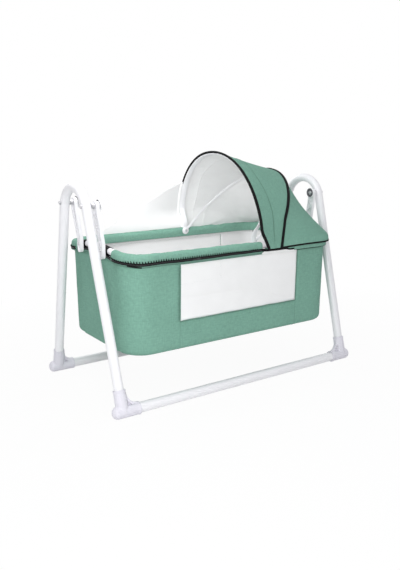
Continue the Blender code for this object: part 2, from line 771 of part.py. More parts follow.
def make_upper_pivots():
    """A bolt through each leg, a spacer, and the arm's ball bearing behind its round cap."""
    leg = LEG_RADIUS + GAP
    inner_end = ARM_INNER_X - PIVOT_X
    bolt = [
        (leg + BOLT_NUT_HEIGHT, 0.0),
        (leg + BOLT_NUT_HEIGHT, BOLT_HEAD_RADIUS * 3 / 4),
        (leg + BOLT_NUT_HEIGHT * 3 / 4, BOLT_HEAD_RADIUS),
        (leg, BOLT_HEAD_RADIUS),
        (leg, BOLT_RADIUS),
        (inner_end - GAP, BOLT_RADIUS),
        (inner_end - GAP, BOLT_HEAD_RADIUS),
        (inner_end - BOLT_HEAD_HEIGHT * 2 / 3, BOLT_HEAD_RADIUS),
        (inner_end - BOLT_HEAD_HEIGHT, BOLT_HEAD_RADIUS / 2),
        (inner_end - BOLT_HEAD_HEIGHT, 0.0),
    ]
    place = (PIVOT_X, PIVOT_Y, PIVOT_Z)
    four_corners("pivot_bolt", turned_along_x("pivot_bolt", bolt, SMALL_SIDES), place, BRIGHT_STEEL)

    spacer = ring_profile(-leg - SPACER_LENGTH, -leg, bore(BOLT_RADIUS, SMALL_SIDES), SPACER_RADIUS)
    four_corners("spacer", turned_along_x("spacer", spacer, SMALL_SIDES), place, BRIGHT_STEEL)

    seat = inner_end + GAP
    bearing = ring_profile(seat, seat + BEARING_WIDTH, bore(BOLT_RADIUS, SMALL_SIDES), BEARING_RADIUS)
    four_corners("bearing", turned_along_x("bearing", bearing, ROUND_SIDES), place, BRIGHT_STEEL)

    face = inner_end - GAP
    dish = CAP_RADIUS - CAP_RIM_WIDTH
    cap = [
        (face, CAP_HOLE_RADIUS),
        (face, CAP_RADIUS),
        (face - CAP_HEIGHT * 3 / 4, CAP_RADIUS),
        (face - CAP_HEIGHT, CAP_RADIUS - CAP_HEIGHT / 4),
        (face - CAP_HEIGHT, dish),
        (face - CAP_HEIGHT + CAP_DISH_DEPTH, dish - CAP_DISH_DEPTH),
        (face - CAP_HEIGHT + CAP_DISH_DEPTH, CAP_HOLE_RADIUS),
    ]
    four_corners("bearing_cap", turned_along_x("bearing_cap", cap, ROUND_SIDES), place, DARK_PLASTIC)


def ring_profile(low, high, inner, outer):
    return [(low, inner), (high, inner), (high, outer), (low, outer)]


def stadium(head_radius, foot_radius, foot_up):
    """The arm's outline around its head at the origin: a round head, and a round foot below it."""
    top = arc((0.0, 0.0), head_radius, 0.0, pi, ARM_END_STEPS)
    bottom = arc((0.0, foot_up), foot_radius, pi, 2 * pi, ARM_END_STEPS)
    return top + bottom


def make_hanger_arms():
    """Moulded arms: a border, two bosses and zigzag ribs on both faces of a thin middle web."""
    drop = PIVOT_Z - LOWER_PIN_Z
    foot_up = -drop - ARM_TAIL_LENGTH
    middle = (ARM_OUTER_X + ARM_INNER_X) / 2 - PIVOT_X
    frame = Matrix(((0, 0, 1, middle), (1, 0, 0, 0), (0, 1, 0, 0), (0, 0, 0, 1)))
    arm = flat_plate(
        "hanger_arm", [stadium(ARM_HEAD_RADIUS, ARM_FOOT_RADIUS, foot_up)], ARM_THICKNESS, frame
    )
    def wall_at(side, up):
        return (side * mix(ARM_HEAD_RADIUS, ARM_FOOT_RADIUS, up / foot_up), up)

    cells = []
    top = -ARM_HEAD_RADIUS
    start = top - ARM_WINDOW_LENGTH
    bottom = -drop + ARM_FOOT_BOSS_RADIUS
    cells.append([wall_at(-1, start), wall_at(1, start), wall_at(1, top), wall_at(-1, top)])
    nodes = [wall_at(1 if i % 2 else -1, mix(start, bottom, i / ARM_BAYS)) for i in range(ARM_BAYS + 1)]
    nodes = [wall_at(1, start)] + nodes + [wall_at(-1 if ARM_BAYS % 2 else 1, bottom)]
    for corners in zip(nodes, nodes[1:], nodes[2:]):
        cells.append(corners if corners[1][0] < 0 else corners[::-1])
    outlines = [inset_cell(cell) for cell in cells]
    tail_radius = ARM_FOOT_RADIUS - ARM_BORDER
    tail_top = -drop - ARM_FOOT_BOSS_RADIUS - ARM_RIB_THICKNESS / 2
    tail = arc((0.0, foot_up), tail_radius, pi, 2 * pi, ARM_END_STEPS)
    outlines.append(tail + [(tail_radius, tail_top), (-tail_radius, tail_top)])
    depth = (ARM_THICKNESS - ARM_WEB) / 2
    outer, inner = ARM_OUTER_X - PIVOT_X, ARM_INNER_X - PIVOT_X
    for side, face in ((-1, inner), (1, outer)):
        cell_frame = frame.copy()
        cell_frame[0][3] = face - side * (depth - OVERRUN) / 2
        cut(arm, flat_plate(f"arm_cells_{side}", outlines, depth + OVERRUN, cell_frame))

    # The bores are cut before the arm is stepped inward, and the step leaves both ends straight.
    bolt_bore = rod("arm_bolt_bore", (outer + OVERRUN, 0, 0), (inner - OVERRUN, 0, 0), BEARING_LIP_RADIUS)
    seat_end = inner + BEARING_WIDTH + 2 * GAP
    seat = rod("arm_bearing_seat", (seat_end, 0, 0), (inner - OVERRUN, 0, 0), bore(BEARING_RADIUS))
    pin_bore = rod(
        "arm_pin_bore",
        (outer + OVERRUN, 0.0, -drop),
        (inner - OVERRUN, 0.0, -drop),
        bore(PIN_RADIUS, SMALL_SIDES),
        sides=SMALL_SIDES,
    )
    cut(arm, bolt_bore, seat, pin_bore)
    arm = baked(arm)
    shift = ARM_FOOT_INNER_X - ARM_INNER_X
    slope_top, slope_bottom = -ARM_FLAT_LENGTH, ARM_FLAT_LENGTH - drop
    bm = bmesh.new()
    bm.from_mesh(arm.data)
    for level in (slope_top, slope_bottom):
        geometry = [*bm.verts, *bm.edges, *bm.faces]
        place = (0.0, 0.0, level)
        bmesh.ops.bisect_plane(bm, geom=geometry, dist=WELD, plane_co=place, plane_no=(0, 0, 1))
    for vertex in bm.verts:
        share = (slope_top - vertex.co.z) / (slope_top - slope_bottom)
        vertex.co.x += shift * min(max(share, 0.0), 1.0)
    bm.to_mesh(arm.data)
    bm.free()
    four_corners("hanger_arm", arm, (PIVOT_X, PIVOT_Y, PIVOT_Z), WHITE_PLASTIC)


def inset_cell(corners):
    """Draws a cell's edges in: by the border's width along a wall, else by half a rib."""
    lines = []
    for start, end in zip(corners, [*corners[1:], corners[0]]):
        run = Vector(end) - Vector(start)
        on_wall = start[0] * end[0] > 0
        inset = ARM_BORDER if on_wall else ARM_RIB_THICKNESS / 2
        inward = Vector((-run.y, run.x)).normalized()
        lines.append((Vector(start) + inward * inset, run))
    outline = []
    for (place, run), (other, other_run) in zip([lines[-1]] + lines[:-1], lines):
        share = (other - place).cross(other_run) / run.cross(other_run)
        outline.append(tuple(place + run * share))
    return outline


def make_lower_pins():
    """A shouldered pin through each arm's foot and the rim tube, with its nut inside the rim."""
    place = (RIM_HALF_LENGTH, PIVOT_Y, LOWER_PIN_Z)
    tube_face = RIM_RADIUS + GAP
    arm_inner = ARM_FOOT_INNER_X - RIM_HALF_LENGTH
    arm_outer = arm_inner + ARM_THICKNESS + GAP
    profile = [
        (arm_outer + PIN_HEAD_HEIGHT, 0.0),
        (arm_outer + PIN_HEAD_HEIGHT, PIN_HEAD_RADIUS * 3 / 4),
        (arm_outer, PIN_HEAD_RADIUS),
        (arm_outer, PIN_RADIUS),
        (arm_inner - GAP, PIN_RADIUS),
        (arm_inner - GAP, PIN_SHOULDER_RADIUS),
        (tube_face, PIN_SHOULDER_RADIUS),
        (tube_face, PIN_RADIUS),
        (-tube_face, PIN_RADIUS),
        (-tube_face, PIN_HEAD_RADIUS),
        (-tube_face - PIN_NUT_HEIGHT, PIN_HEAD_RADIUS),
        (-tube_face - PIN_NUT_HEIGHT, 0.0),
    ]
    four_corners("lower_pin", turned_along_x("lower_pin", profile, SMALL_SIDES), place, BRIGHT_STEEL)


def make_rim():
    rim = tube("rim_frame", rim_ring(), RIM_RADIUS, RIM_RESOLUTION, RIM_WALL, cyclic=True)
    reach = RIM_RADIUS + OVERRUN
    for sign_x in (-1, 1):
        for sign_y in (-1, 1):
            centre = Vector((sign_x * RIM_HALF_LENGTH, sign_y * PIVOT_Y, LOWER_PIN_Z))
            step = Vector((reach, 0.0, 0.0))
            name = f"rim_pin_hole_{sign_x}_{sign_y}"
            hole_radius = bore(PIN_RADIUS, SMALL_SIDES)
            cut(rim, rod(name, centre - step, centre + step, hole_radius, sides=SMALL_SIDES))
    for sign_y in (-1, 1):
        inner = (HUB_X, sign_y * (RIM_HALF_WIDTH - reach), HUB_Z)
        middle = (HUB_X, sign_y * RIM_HALF_WIDTH, HUB_Z)
        hole_radius = bore(HUB_PIN_RADIUS, SMALL_SIDES)
        cut(rim, rod(f"rim_hub_hole_{sign_y}", inner, middle, hole_radius, sides=SMALL_SIDES))
    dress(rim, WHITE_STEEL)


def cuff_profile():
    """The cuff's hooked section around the tube; its outside is on the left of travel."""
    hollow = bore(RIM_RADIUS, 2 * CUFF_STEPS)
    face = RIM_RADIUS + GAP + CUFF_PADDING
    outer = [(-x, z) for x, z in arc((0.0, 0.0), face, 0.0, pi, CUFF_STEPS)]
    inner = [(-x, z) for x, z in arc((0.0, 0.0), hollow, pi, 0.0, CUFF_STEPS)]
    outer_foot = [(x, -CUFF_DROP_OUTSIDE) for x in (CUFF_TUCK - hollow, CUFF_TUCK - face)]
    inner_foot = [(x, -CUFF_DROP_INSIDE) for x in (face - CUFF_TUCK / 3, hollow - CUFF_TUCK / 3)]
    return outer_foot + outer + inner_foot + inner


def make_cuffs():
    """The far cuff goes round both far corners; the near one stops short at the hood's hub."""
    def wrapped(sign_x, sign_y):
        return [p for p in rim_quarter(sign_x, sign_y) if abs(p.y) > CUFF_END_Y - WELD]

    far = wrapped(-1, 1)[::-1] + wrapped(1, 1)[1:]
    near_stop = Vector((CUFF_NEAR_STOP_X, -RIM_HALF_WIDTH, RIM_Z))
    near_start = Vector((CUFF_NEAR_START_X, -RIM_HALF_WIDTH, RIM_Z))
    near_left = [near_stop] + wrapped(-1, -1)[1:]
    near_right = wrapped(1, -1)[::-1][:-1] + [near_start]
    cuffs = {
        "cuff_far": far,
        "cuff_near_left": near_left,
        "cuff_near_right": near_right,
    }
    for name, path in cuffs.items():
        cuff = swept(name, path, cuff_profile())
        if name != "cuff_near_right":
            side = 1 if name == "cuff_far" else -1
            inner = (HUB_X, side * (RIM_HALF_WIDTH - RIM_RADIUS - CUFF_PADDING - OVERRUN), HUB_Z)
            outer = (HUB_X, side * (RIM_HALF_WIDTH - RIM_RADIUS / 2), HUB_Z)
            cut(cuff, rod(name + "_eyelet", inner, outer, CUFF_EYELET_RADIUS))
        dress(cuff, GREEN_FABRIC)


def make_hanging_tabs():
    """A webbing tab looped over the rim behind each arm, with its tail on the basket's top edge."""
    centre = Vector((RIM_HALF_LENGTH, PIVOT_Y, LOWER_PIN_Z))
    near = Vector((0.0, -TAB_WIDTH / 2, rim_path_z(PIVOT_Y - TAB_WIDTH / 2) - LOWER_PIN_Z))
    far = Vector((0.0, TAB_WIDTH / 2, rim_path_z(PIVOT_Y + TAB_WIDTH / 2) - LOWER_PIN_Z))
    inner = RIM_RADIUS + TAB_TUBE_CLEARANCE
    tab = rod("hanging_tab", near, far, inner + TAB_THICKNESS)
    wall_middle = BASKET_OFFSET - BASKET_FABRIC / 2
    low = (wall_middle - TAB_TAIL_THICKNESS / 2, -TAB_WIDTH / 2, BASKET_TOP_Z + GAP - LOWER_PIN_Z)
    high = (wall_middle + TAB_TAIL_THICKNESS / 2, TAB_WIDTH / 2, -inner + TAB_THICKNESS)
    join(tab, block("tab_tail", low, high))
    run = (far - near).normalized() * OVERRUN
    bore = rod("tab_bore", near - run, far + run, inner)
    eyelet_start = (-inner - OVERRUN, 0.0, 0.0)
    eyelet_end = (inner + OVERRUN, 0.0, 0.0)
    cut(tab, bore, rod("tab_eyelet", eyelet_start, eyelet_end, TAB_EYELET_RADIUS))
    four_corners("hanging_tab", tab, centre, BLACK_WEBBING)


def basket_loop(inset, z, steps=RIM_CORNER_STEPS, taper=None):
    """The basket's outline at a height, drawn in from its outer face by an inset."""
    depth = (BASKET_TOP_Z - z) / (BASKET_TOP_Z - BASKET_BOTTOM_Z) if taper is None else taper
    length = RIM_HALF_LENGTH + BASKET_OFFSET - BASKET_TAPER_LENGTH * depth - inset
    width = RIM_HALF_WIDTH + BASKET_OFFSET - BASKET_TAPER_WIDTH * depth - inset
    corner = max(RIM_CORNER_RADIUS + BASKET_OFFSET - inset, RIM_RADIUS)
    points = []
    for sign_x, sign_y, start in ((1, 1, 0.0), (-1, 1, pi / 2), (-1, -1, pi), (1, -1, 3 * pi / 2)):
        middle = (sign_x * (length - corner), sign_y * (width - corner))
        points += arc(middle, corner, start, start + pi / 2, steps)
    return [Vector((x, y, z)) for x, y in points]


def tub_rings(inset):
    """Rings of a tub from its rounded bottom edge to its top, drawn in by an inset all over."""
    edge = BASKET_EDGE_RADIUS - inset
    floor = BASKET_BOTTOM_Z + inset
    rings = [basket_loop(inset + edge, floor)]
    for turn in (30, 60, 90):
        angle = radians(turn)
        rings.append(basket_loop(inset + edge * (1 - sin(angle)), floor + edge * (1 - cos(angle))))
    rings.append(basket_loop(inset, BASKET_TOP_Z))
    return rings


def tub(name, inset, fabric, margin, finish):
    """An open fabric tub with a window cut in each long side."""
    bm = bmesh.new()
    rows = [[bm.verts.new(point) for point in ring] for ring in tub_rings(inset)]
    for lower, upper in zip(rows, rows[1:]):
        for i in range(len(lower)):
            j = (i + 1) % len(lower)
            bm.faces.new((lower[i], lower[j], upper[j], upper[i]))
    bm.faces.new(reversed(rows[0]))
    obj = object_from_bmesh(name, bm)
    shell = obj.modifiers.new("fabric", "SOLIDIFY")
    shell.thickness = fabric
    shell.offset = -1.0
    obj = baked(obj)
    face_outward(obj)
    for side in (-1, 1):
        inner = side * (RIM_HALF_WIDTH / 2)
        outer = side * (RIM_HALF_WIDTH + BASKET_OFFSET + OVERRUN)
        low = (-WINDOW_HALF_LENGTH - margin, min(inner, outer), WINDOW_SILL_Z - margin)
        high = (WINDOW_HALF_LENGTH + margin, max(inner, outer), WINDOW_HEAD_Z + margin)
        cut(obj, block(f"{name}_window_{side}", low, high))
    dress(obj, finish)
    return obj


def make_basket():
    tub("basket_shell", 0.0, BASKET_FABRIC, 0.0, GREEN_FABRIC)
    tub("basket_lining", BASKET_FABRIC + 2 * GAP, LINING_FABRIC, GAP, WHITE_FABRIC)


def make_windows():
    """The fine mesh of each window, set in the middle of the basket's wall."""
    for depth, sign in (("near", -1), ("far", 1)):
        rings = []
        for x in (-WINDOW_HALF_LENGTH + GAP, WINDOW_HALF_LENGTH - GAP):
            ring = []
            for z, face in (
                (WINDOW_SILL_Z + GAP, 0.0),
                (WINDOW_HEAD_Z - GAP, 0.0),
                (WINDOW_HEAD_Z - GAP, WINDOW_MESH),
                (WINDOW_SILL_Z + GAP, WINDOW_MESH),
            ):
                depth_share = (BASKET_TOP_Z - z) / (BASKET_TOP_Z - BASKET_BOTTOM_Z)
                wall = RIM_HALF_WIDTH + BASKET_OFFSET - BASKET_TAPER_WIDTH * depth_share
                outer = wall - (BASKET_FABRIC - WINDOW_MESH) / 2
                ring.append(Vector((x, sign * (outer - face), z)))
            rings.append(ring)
        loft(f"window_mesh_{depth}", rings, WHITE_NET)


def make_zip():
    """The zip tape around the basket's top edge, under the cuffs, and its slider and pull tab."""
    face = BASKET_OFFSET + GAP
    top = -CUFF_DROP_OUTSIDE - GAP
    ring = [Vector((p.x, p.y, RIM_Z)) for p in rim_ring()]
    profile = [
        (-face, top - ZIP_HEIGHT),
        (-face, top),
        (-face - ZIP_THICKNESS, top),
        (-face - ZIP_THICKNESS, top - ZIP_HEIGHT),
    ]
    swept("zip_tape", ring, profile, cyclic=True, finish=BLACK_WEBBING)
    front = -(RIM_HALF_WIDTH + face + ZIP_THICKNESS + GAP)
    middle_z = RIM_Z + top - ZIP_HEIGHT / 2
    low = (ZIP_SLIDER_X, front - ZIP_SLIDER_THICKNESS, middle_z - ZIP_SLIDER_HEIGHT / 2)
    high = (ZIP_SLIDER_X + ZIP_SLIDER_LENGTH, front, middle_z + ZIP_SLIDER_HEIGHT / 2)
    slider = block("zip_slider", low, high)
    pull_x = ZIP_SLIDER_X + (ZIP_SLIDER_LENGTH - ZIP_PULL_WIDTH) / 2
    pull_top = middle_z
    pull_low = (pull_x, front - ZIP_SLIDER_THICKNESS, pull_top - ZIP_PULL_LENGTH)
    pull_high = (
        pull_x + ZIP_PULL_WIDTH, front - ZIP_SLIDER_THICKNESS + ZIP_PULL_THICKNESS, pull_top,
    )
    join(slider, block("zip_pull", pull_low, pull_high))
    dress(slider, DARK_PLASTIC)


def make_bed():
    """The stiff base board and the mattress that lies on it."""
    floor = BASKET_BOTTOM_Z + BASKET_FABRIC + LINING_FABRIC + 3 * GAP
    rings = [basket_loop(BOARD_INSET, z) for z in (floor, floor + BOARD_THICKNESS)]
    loft("base_board", rings, FIBREBOARD)

    low = floor + BOARD_THICKNESS + GAP
    side = BASKET_FABRIC + LINING_FABRIC + 3 * GAP + MATTRESS_CLEARANCE
    high = low + MATTRESS_THICKNESS
    crown = MATTRESS_CROWN
    # Each ring is (inset from the mattress's side, height, how far its straight sides are drawn in).
    shares = (
        (MATTRESS_FOOT_INSET, low, 0.0),
        (MATTRESS_FOOT_INSET / 4, mix(low, high, 0.20), MATTRESS_DRAW_IN / 2),
        (0.0, mix(low, high, 0.45), MATTRESS_DRAW_IN),
        (0.0, mix(low, high, 0.70), MATTRESS_DRAW_IN),
        (MATTRESS_FOOT_INSET / 4, mix(low, high, 0.92), MATTRESS_DRAW_IN / 2),
        (MATTRESS_FOOT_INSET, high, 0.0),
        (3 * MATTRESS_FOOT_INSET, high + crown * 0.45, 0.0),
        (7 * MATTRESS_FOOT_INSET, high + crown * 0.80, 0.0),
        (14 * MATTRESS_FOOT_INSET, high + crown, 0.0),
    )
    rings = []
    for inset, z, draw_in in shares:
        loop = basket_loop(side + inset, z, MATTRESS_CORNER_STEPS, taper=1.0)
        loop = side_subdivided(loop, MATTRESS_CORNER_STEPS)
        rings.append([drawn_in(point, draw_in) for point in loop])
    loft("mattress", rings, WHITE_FABRIC)


def side_subdivided(loop, corner_steps):
    """Adds points along the loop's four straight runs, so that they can curve."""
    points = []
    for i, (start, end) in enumerate(zip(loop, loop[1:] + loop[:1])):
        points.append(start)
        if i % (corner_steps + 1) == corner_steps:
            points += [start.lerp(end, j / 4) for j in (1, 2, 3)]
    return points


def drawn_in(point, amount):
    """Pulls the middle of each straight side inward by an amount."""
    half_x, half_y = RIM_HALF_LENGTH, RIM_HALF_WIDTH
    pull_y = amount * cos(pi * point.x / (2 * half_x)) * (point.y / half_y)
    pull_x = amount * cos(pi * point.y / (2 * half_y)) * (point.x / half_x)
    return Vector((point.x - pull_x, point.y - pull_y, point.z))


# The hood's lines, drawn for the rear half (y > 0) and mirrored

HEM_OFFSET = RIM_RADIUS + GAP + CUFF_PADDING + HOOD_CUFF_GAP + HOOD_FABRIC
HEM_Y = RIM_HALF_WIDTH + HEM_OFFSET


def front_x(z):
    return HUB_X - HOOD_FRONT_LEAN * (z - HUB_Z) / HOOD_FRONT_HEIGHT


def arch_width(rise, height, half_width, power):
    """Half width of a hood arch at a height above its base."""
    share = min(max(rise / height, 0.0), 1.0)
    return half_width * (1 - share**power) ** (1 / power)


def half_arch(start_z, base_z, height, half_width, power, steps):
    """(y, z) points of half an arch, from a start height up to its top, evenly turned."""
    start = (start_z - base_z) / height
    first = atan2(start ** (power / 2), (1 - start**power) ** 0.5)
    points = []
    for i in range(steps + 1):
        angle = mix(first, pi / 2, i / steps)
        points.append((half_width * cos(angle) ** (2 / power), base_z + height * sin(angle) ** (2 / power)))
    points[-1] = (0.0, base_z + height)
    return points


def whole(half):
    """Both halves of a symmetric line: from its near foot over the top to its far foot."""
    near = [Vector((p.x, -p.y, p.z)) for p in half]
    return near + half[-2::-1]


def front_line():
    """The hood's front edge: up a slanted foot to the knee, then over the front bow."""
    base = HUB_Z
    foot = Vector((HOOD_FRONT_FOOT_X, HEM_Y, HOOD_FRONT_FOOT_Z))
    rest = [
        Vector((front_x(z), y, z))
        for y, z in half_arch(
            HOOD_FRONT_KNEE_Z,
            base,
            HOOD_FRONT_HEIGHT - (base - RIM_Z),
            HOOD_FRONT_HALF_WIDTH,
            HOOD_FRONT_POWER_SHARE,
            HOOD_STEPS - 2,
        )
    ]
    knee = rest[0]
    return whole([foot, foot.lerp(knee, 1 / 2)] + rest)


def middle_line():
    """The hood's middle seam: up a steep foot, then over the tilted middle bow."""
    tilt = HOOD_MIDDLE_TILT_SHARE
    height = HOOD_MIDDLE_REACH * cos(tilt)
    foot = Vector((HOOD_MIDDLE_FOOT_X, HEM_Y, HOOD_HEM_Z))
    rest = [
        Vector((HOOD_MIDDLE_X + (z - HUB_Z) * sin(tilt) / cos(tilt), y, z))
        for y, z in half_arch(
            HOOD_MIDDLE_KNEE_Z,
            HUB_Z,
            height,
            HOOD_MIDDLE_HALF_WIDTH,
            HOOD_MIDDLE_POWER_SHARE,
            HOOD_STEPS - 2,
        )
    ]
    return whole([foot, foot.lerp(rest[0], 1 / 2)] + rest)


def resampled(line, count):
    """The same line with evenly spaced points."""
    lengths = [0.0]
    for a, b in zip(line, line[1:]):
        lengths.append(lengths[-1] + (b - a).length)
    points = []
    k = 0
    for i in range(count + 1):
        target = lengths[-1] * i / count
        while k < len(line) - 2 and lengths[k + 1] < target:
            k += 1
        share = (target - lengths[k]) / (lengths[k + 1] - lengths[k])
        points.append(line[k].lerp(line[k + 1], share))
    return points


def hem_line(offset_side, offset_notch, drop_side, drop_notch):
    """A line round the right end of the rim, lifted over the bare tube where the arms hang.

    The side offset can change along the line: it is given as two offsets, at its start and its end.
    """
    corner = RIM_CORNER_RADIUS
    length, width = RIM_HALF_LENGTH - corner, RIM_HALF_WIDTH - corner
    straight = HOOD_STEPS - RIM_CORNER_STEPS - 5
    places = [(mix(HOOD_REAR_START_X, length, i / straight), RIM_HALF_WIDTH, 0.0) for i in range(straight)]
    for i in range(RIM_CORNER_STEPS + 1):
        angle = pi / 2 * i / RIM_CORNER_STEPS
        places.append((length + corner * sin(angle), width + corner * cos(angle), angle))
    notch_start = HOOD_NOTCH_Y + HOOD_NOTCH_BLEND
    end_ys = (notch_start, notch_start - HOOD_NOTCH_BLEND / 2, HOOD_NOTCH_Y, HOOD_NOTCH_Y / 2, 0.0)
    places += [(RIM_HALF_LENGTH, y, pi / 2) for y in end_ys]
    half = []
    for x, y, angle in places:
        notch = smooth((notch_start - y) / HOOD_NOTCH_BLEND)
        side = mix(*offset_side, smooth(angle / (pi / 2)))
        turn = mix(atan2(drop_side, side), atan2(drop_notch, offset_notch), notch)
        away = mix(hypot(drop_side, side), hypot(drop_notch, offset_notch), notch)
        offset = away * cos(turn)
        z = rim_path_z(y) + away * sin(turn)
        half.append(Vector((x + offset * sin(angle), y + offset * cos(angle), z)))
    half[-1].y = 0.0
    return whole(half)


def between(first, last, share, bulge=0.0):
    """A line part of the way between two others, with its middle lifted by a bulge."""
    return [a.lerp(b, share) + Vector((0.0, 0.0, bulge)) for a, b in zip(first, last)]


def make_hood():
    """Two gores of lined fabric: bow to bow, and from the middle bow down over the rim's end."""
    count = 2 * HOOD_STEPS
    front = resampled(front_line(), count)
    middle = resampled(middle_line(), count)
    lead = HOOD_SEAM_GAP / 2
    seam_front = [m + (f - m).normalized() * lead for f, m in zip(front, middle)]
    rows = [between(front, seam_front, share) for share in (0.0, 0.25, 0.5, 0.75, 1.0)]
    sheet_between("hood_front_gore", rows, HOOD_FABRIC, GREEN_FABRIC)

    tube_top = RIM_RADIUS + TAB_TUBE_CLEARANCE + TAB_THICKNESS + HOOD_FABRIC + HOOD_CUFF_GAP
    crest = RIM_RADIUS + GAP + CUFF_PADDING + HOOD_FABRIC + HOOD_CUFF_GAP
    side = HEM_OFFSET
    upper_side = HEM_OFFSET - HOOD_FABRIC / 4
    hem = hem_line((side, side), tube_top / 3, HOOD_HEM_Z - RIM_Z, tube_top)
    shoulder = hem_line((upper_side, upper_side), tube_top / 6, crest / 3, tube_top + HOOD_FABRIC / 2)
    ridge = hem_line((upper_side, crest / 4), 0.0, crest, tube_top + HOOD_FABRIC)
    seam_rear = [m + (r - m).normalized() * lead for m, r in zip(middle, ridge)]
    rows = [between(seam_rear, ridge, share) for share in (0.0, 0.25, 0.5, 0.75, 1.0)]
    rows += [shoulder, hem]
    sheet_between("hood_rear_gore", rows, HOOD_FABRIC, GREEN_FABRIC)


def bow(name, points, slopes, across, width, eye_radius, eye_y):
    """A flat strip bent over the hood, with a round eye at each end on the hub pin.

    Each slope turns the strip's back edge inward, so that it lies along the fabric.
    """
    line = whole(points)
    slopes = slopes + slopes[-2::-1]
    rings = []
    for i, (point, slope) in enumerate(zip(line, slopes)):
        travel = line[min(i + 1, len(line) - 1)] - line[max(i - 1, 0)]
        outward = across.cross(travel).normalized()
        lying = (across - outward * slope).normalized()
        a = lying * width / 2
        b = lying.cross(travel).normalized() * BOW_STRIP_THICKNESS / 2
        rings.append([point - a - b, point + a - b, point + a + b, point - a + b])
    obj = loft(name, rings)
    for side in (-1, 1):
        faces = [(HUB_X, side * (eye_y + t * BOW_THICKNESS / 2), HUB_Z) for t in (-1, 1)]
        join(obj, rod(f"{name}_eye_{side}", faces[0], faces[1], eye_radius))
    for side in (-1, 1):
        ends = [(HUB_X, side * (eye_y + t * (BOW_THICKNESS / 2 + OVERRUN)), HUB_Z) for t in (-1, 1)]
        hole_radius = bore(HUB_PIN_RADIUS, SMALL_SIDES)
        cut(obj, rod(f"{name}_hole_{side}", ends[0], ends[1], hole_radius, sides=SMALL_SIDES))
    obj = baked(obj)
    face_outward(obj)
    origin = Vector((HUB_X, 0.0, HUB_Z))
    obj.data.transform(Matrix.Translation(-origin))
    obj.location = origin
    dress(obj, WHITE_PLASTIC)


CUFF_INNER_Y = RIM_HALF_WIDTH - RIM_RADIUS - GAP - CUFF_PADDING
FRONT_EYE_Y = CUFF_INNER_Y - GAP - BOW_THICKNESS / 2
MIDDLE_EYE_Y = FRONT_EYE_Y - BOW_THICKNESS - GAP


def bow_rises(height, start, settle, power):
    """Heights at which a half bow is drawn: close together while it settles, then evenly turned."""
    low = [0.0, start / 2]
    low += [start + settle * share for share in (0.0, 0.25, 0.5, 0.75, 1.0)]
    upper = half_arch(low[-1], 0.0, height, 1.0, power, BOW_STEPS - len(low) + 1)
    return low + [rise for _, rise in upper[1:]]


def make_bows():
    inset = HOOD_FABRIC + HOOD_BOW_GAP + BOW_THICKNESS / 2
    lean = HOOD_FRONT_LEAN / HOOD_FRONT_HEIGHT
    height = HOOD_FRONT_HEIGHT - (HUB_Z - RIM_Z) - inset
    front, slopes = [], []
    start, spread = FRONT_BOW_SETTLE_START, FRONT_BOW_SETTLE_HEIGHT
    for rise in bow_rises(height, start, spread, HOOD_FRONT_POWER_SHARE):
        y = arch_width(rise, height, HOOD_FRONT_HALF_WIDTH - inset, HOOD_FRONT_POWER_SHARE)
        settle = smooth((rise - start) / spread)
        x = HUB_X - rise * lean + settle * FRONT_BOW_WIDTH / 2
        drop = settle * FRONT_BOW_SLOPE * FRONT_BOW_WIDTH / 2
        share = 1 - drop / HOOD_FRONT_HALF_WIDTH
        front.append(Vector((x, mix(FRONT_EYE_Y, y, settle) * share, HUB_Z + rise * share)))
        slopes.append(settle * FRONT_BOW_SLOPE)
    front[-1].y = 0.0
    across = Vector((1.0, 0.0, lean))
    bow("front_bow", front, slopes, across, FRONT_BOW_WIDTH, FRONT_BOW_EYE_RADIUS, FRONT_EYE_Y)

    tilt = HOOD_MIDDLE_TILT_SHARE
    height = (HOOD_MIDDLE_REACH - inset) * cos(tilt)
    half_width = HOOD_MIDDLE_HALF_WIDTH - inset - MIDDLE_BOW_CLEARANCE
    middle = []
    start, spread = MIDDLE_BOW_SETTLE_START, MIDDLE_BOW_SETTLE_HEIGHT
    for rise in bow_rises(height, start, spread, HOOD_MIDDLE_POWER_SHARE):
        y = arch_width(rise, height, half_width, HOOD_MIDDLE_POWER_SHARE)
        y = mix(MIDDLE_EYE_Y, y, smooth((rise - start) / spread))
        bend = (HOOD_MIDDLE_X - HUB_X) * (1 - smooth(rise / MIDDLE_BOW_BEND_HEIGHT))
        middle.append(Vector((HOOD_MIDDLE_X + rise * sin(tilt) / cos(tilt) - bend, y, HUB_Z + rise)))
    middle[-1].y = 0.0
    slopes = [0.0] * len(middle)
    across = Vector((cos(tilt), 0.0, -sin(tilt)))
    bow("middle_bow", middle, slopes, across, MIDDLE_BOW_WIDTH, MIDDLE_BOW_EYE_RADIUS, MIDDLE_EYE_Y)


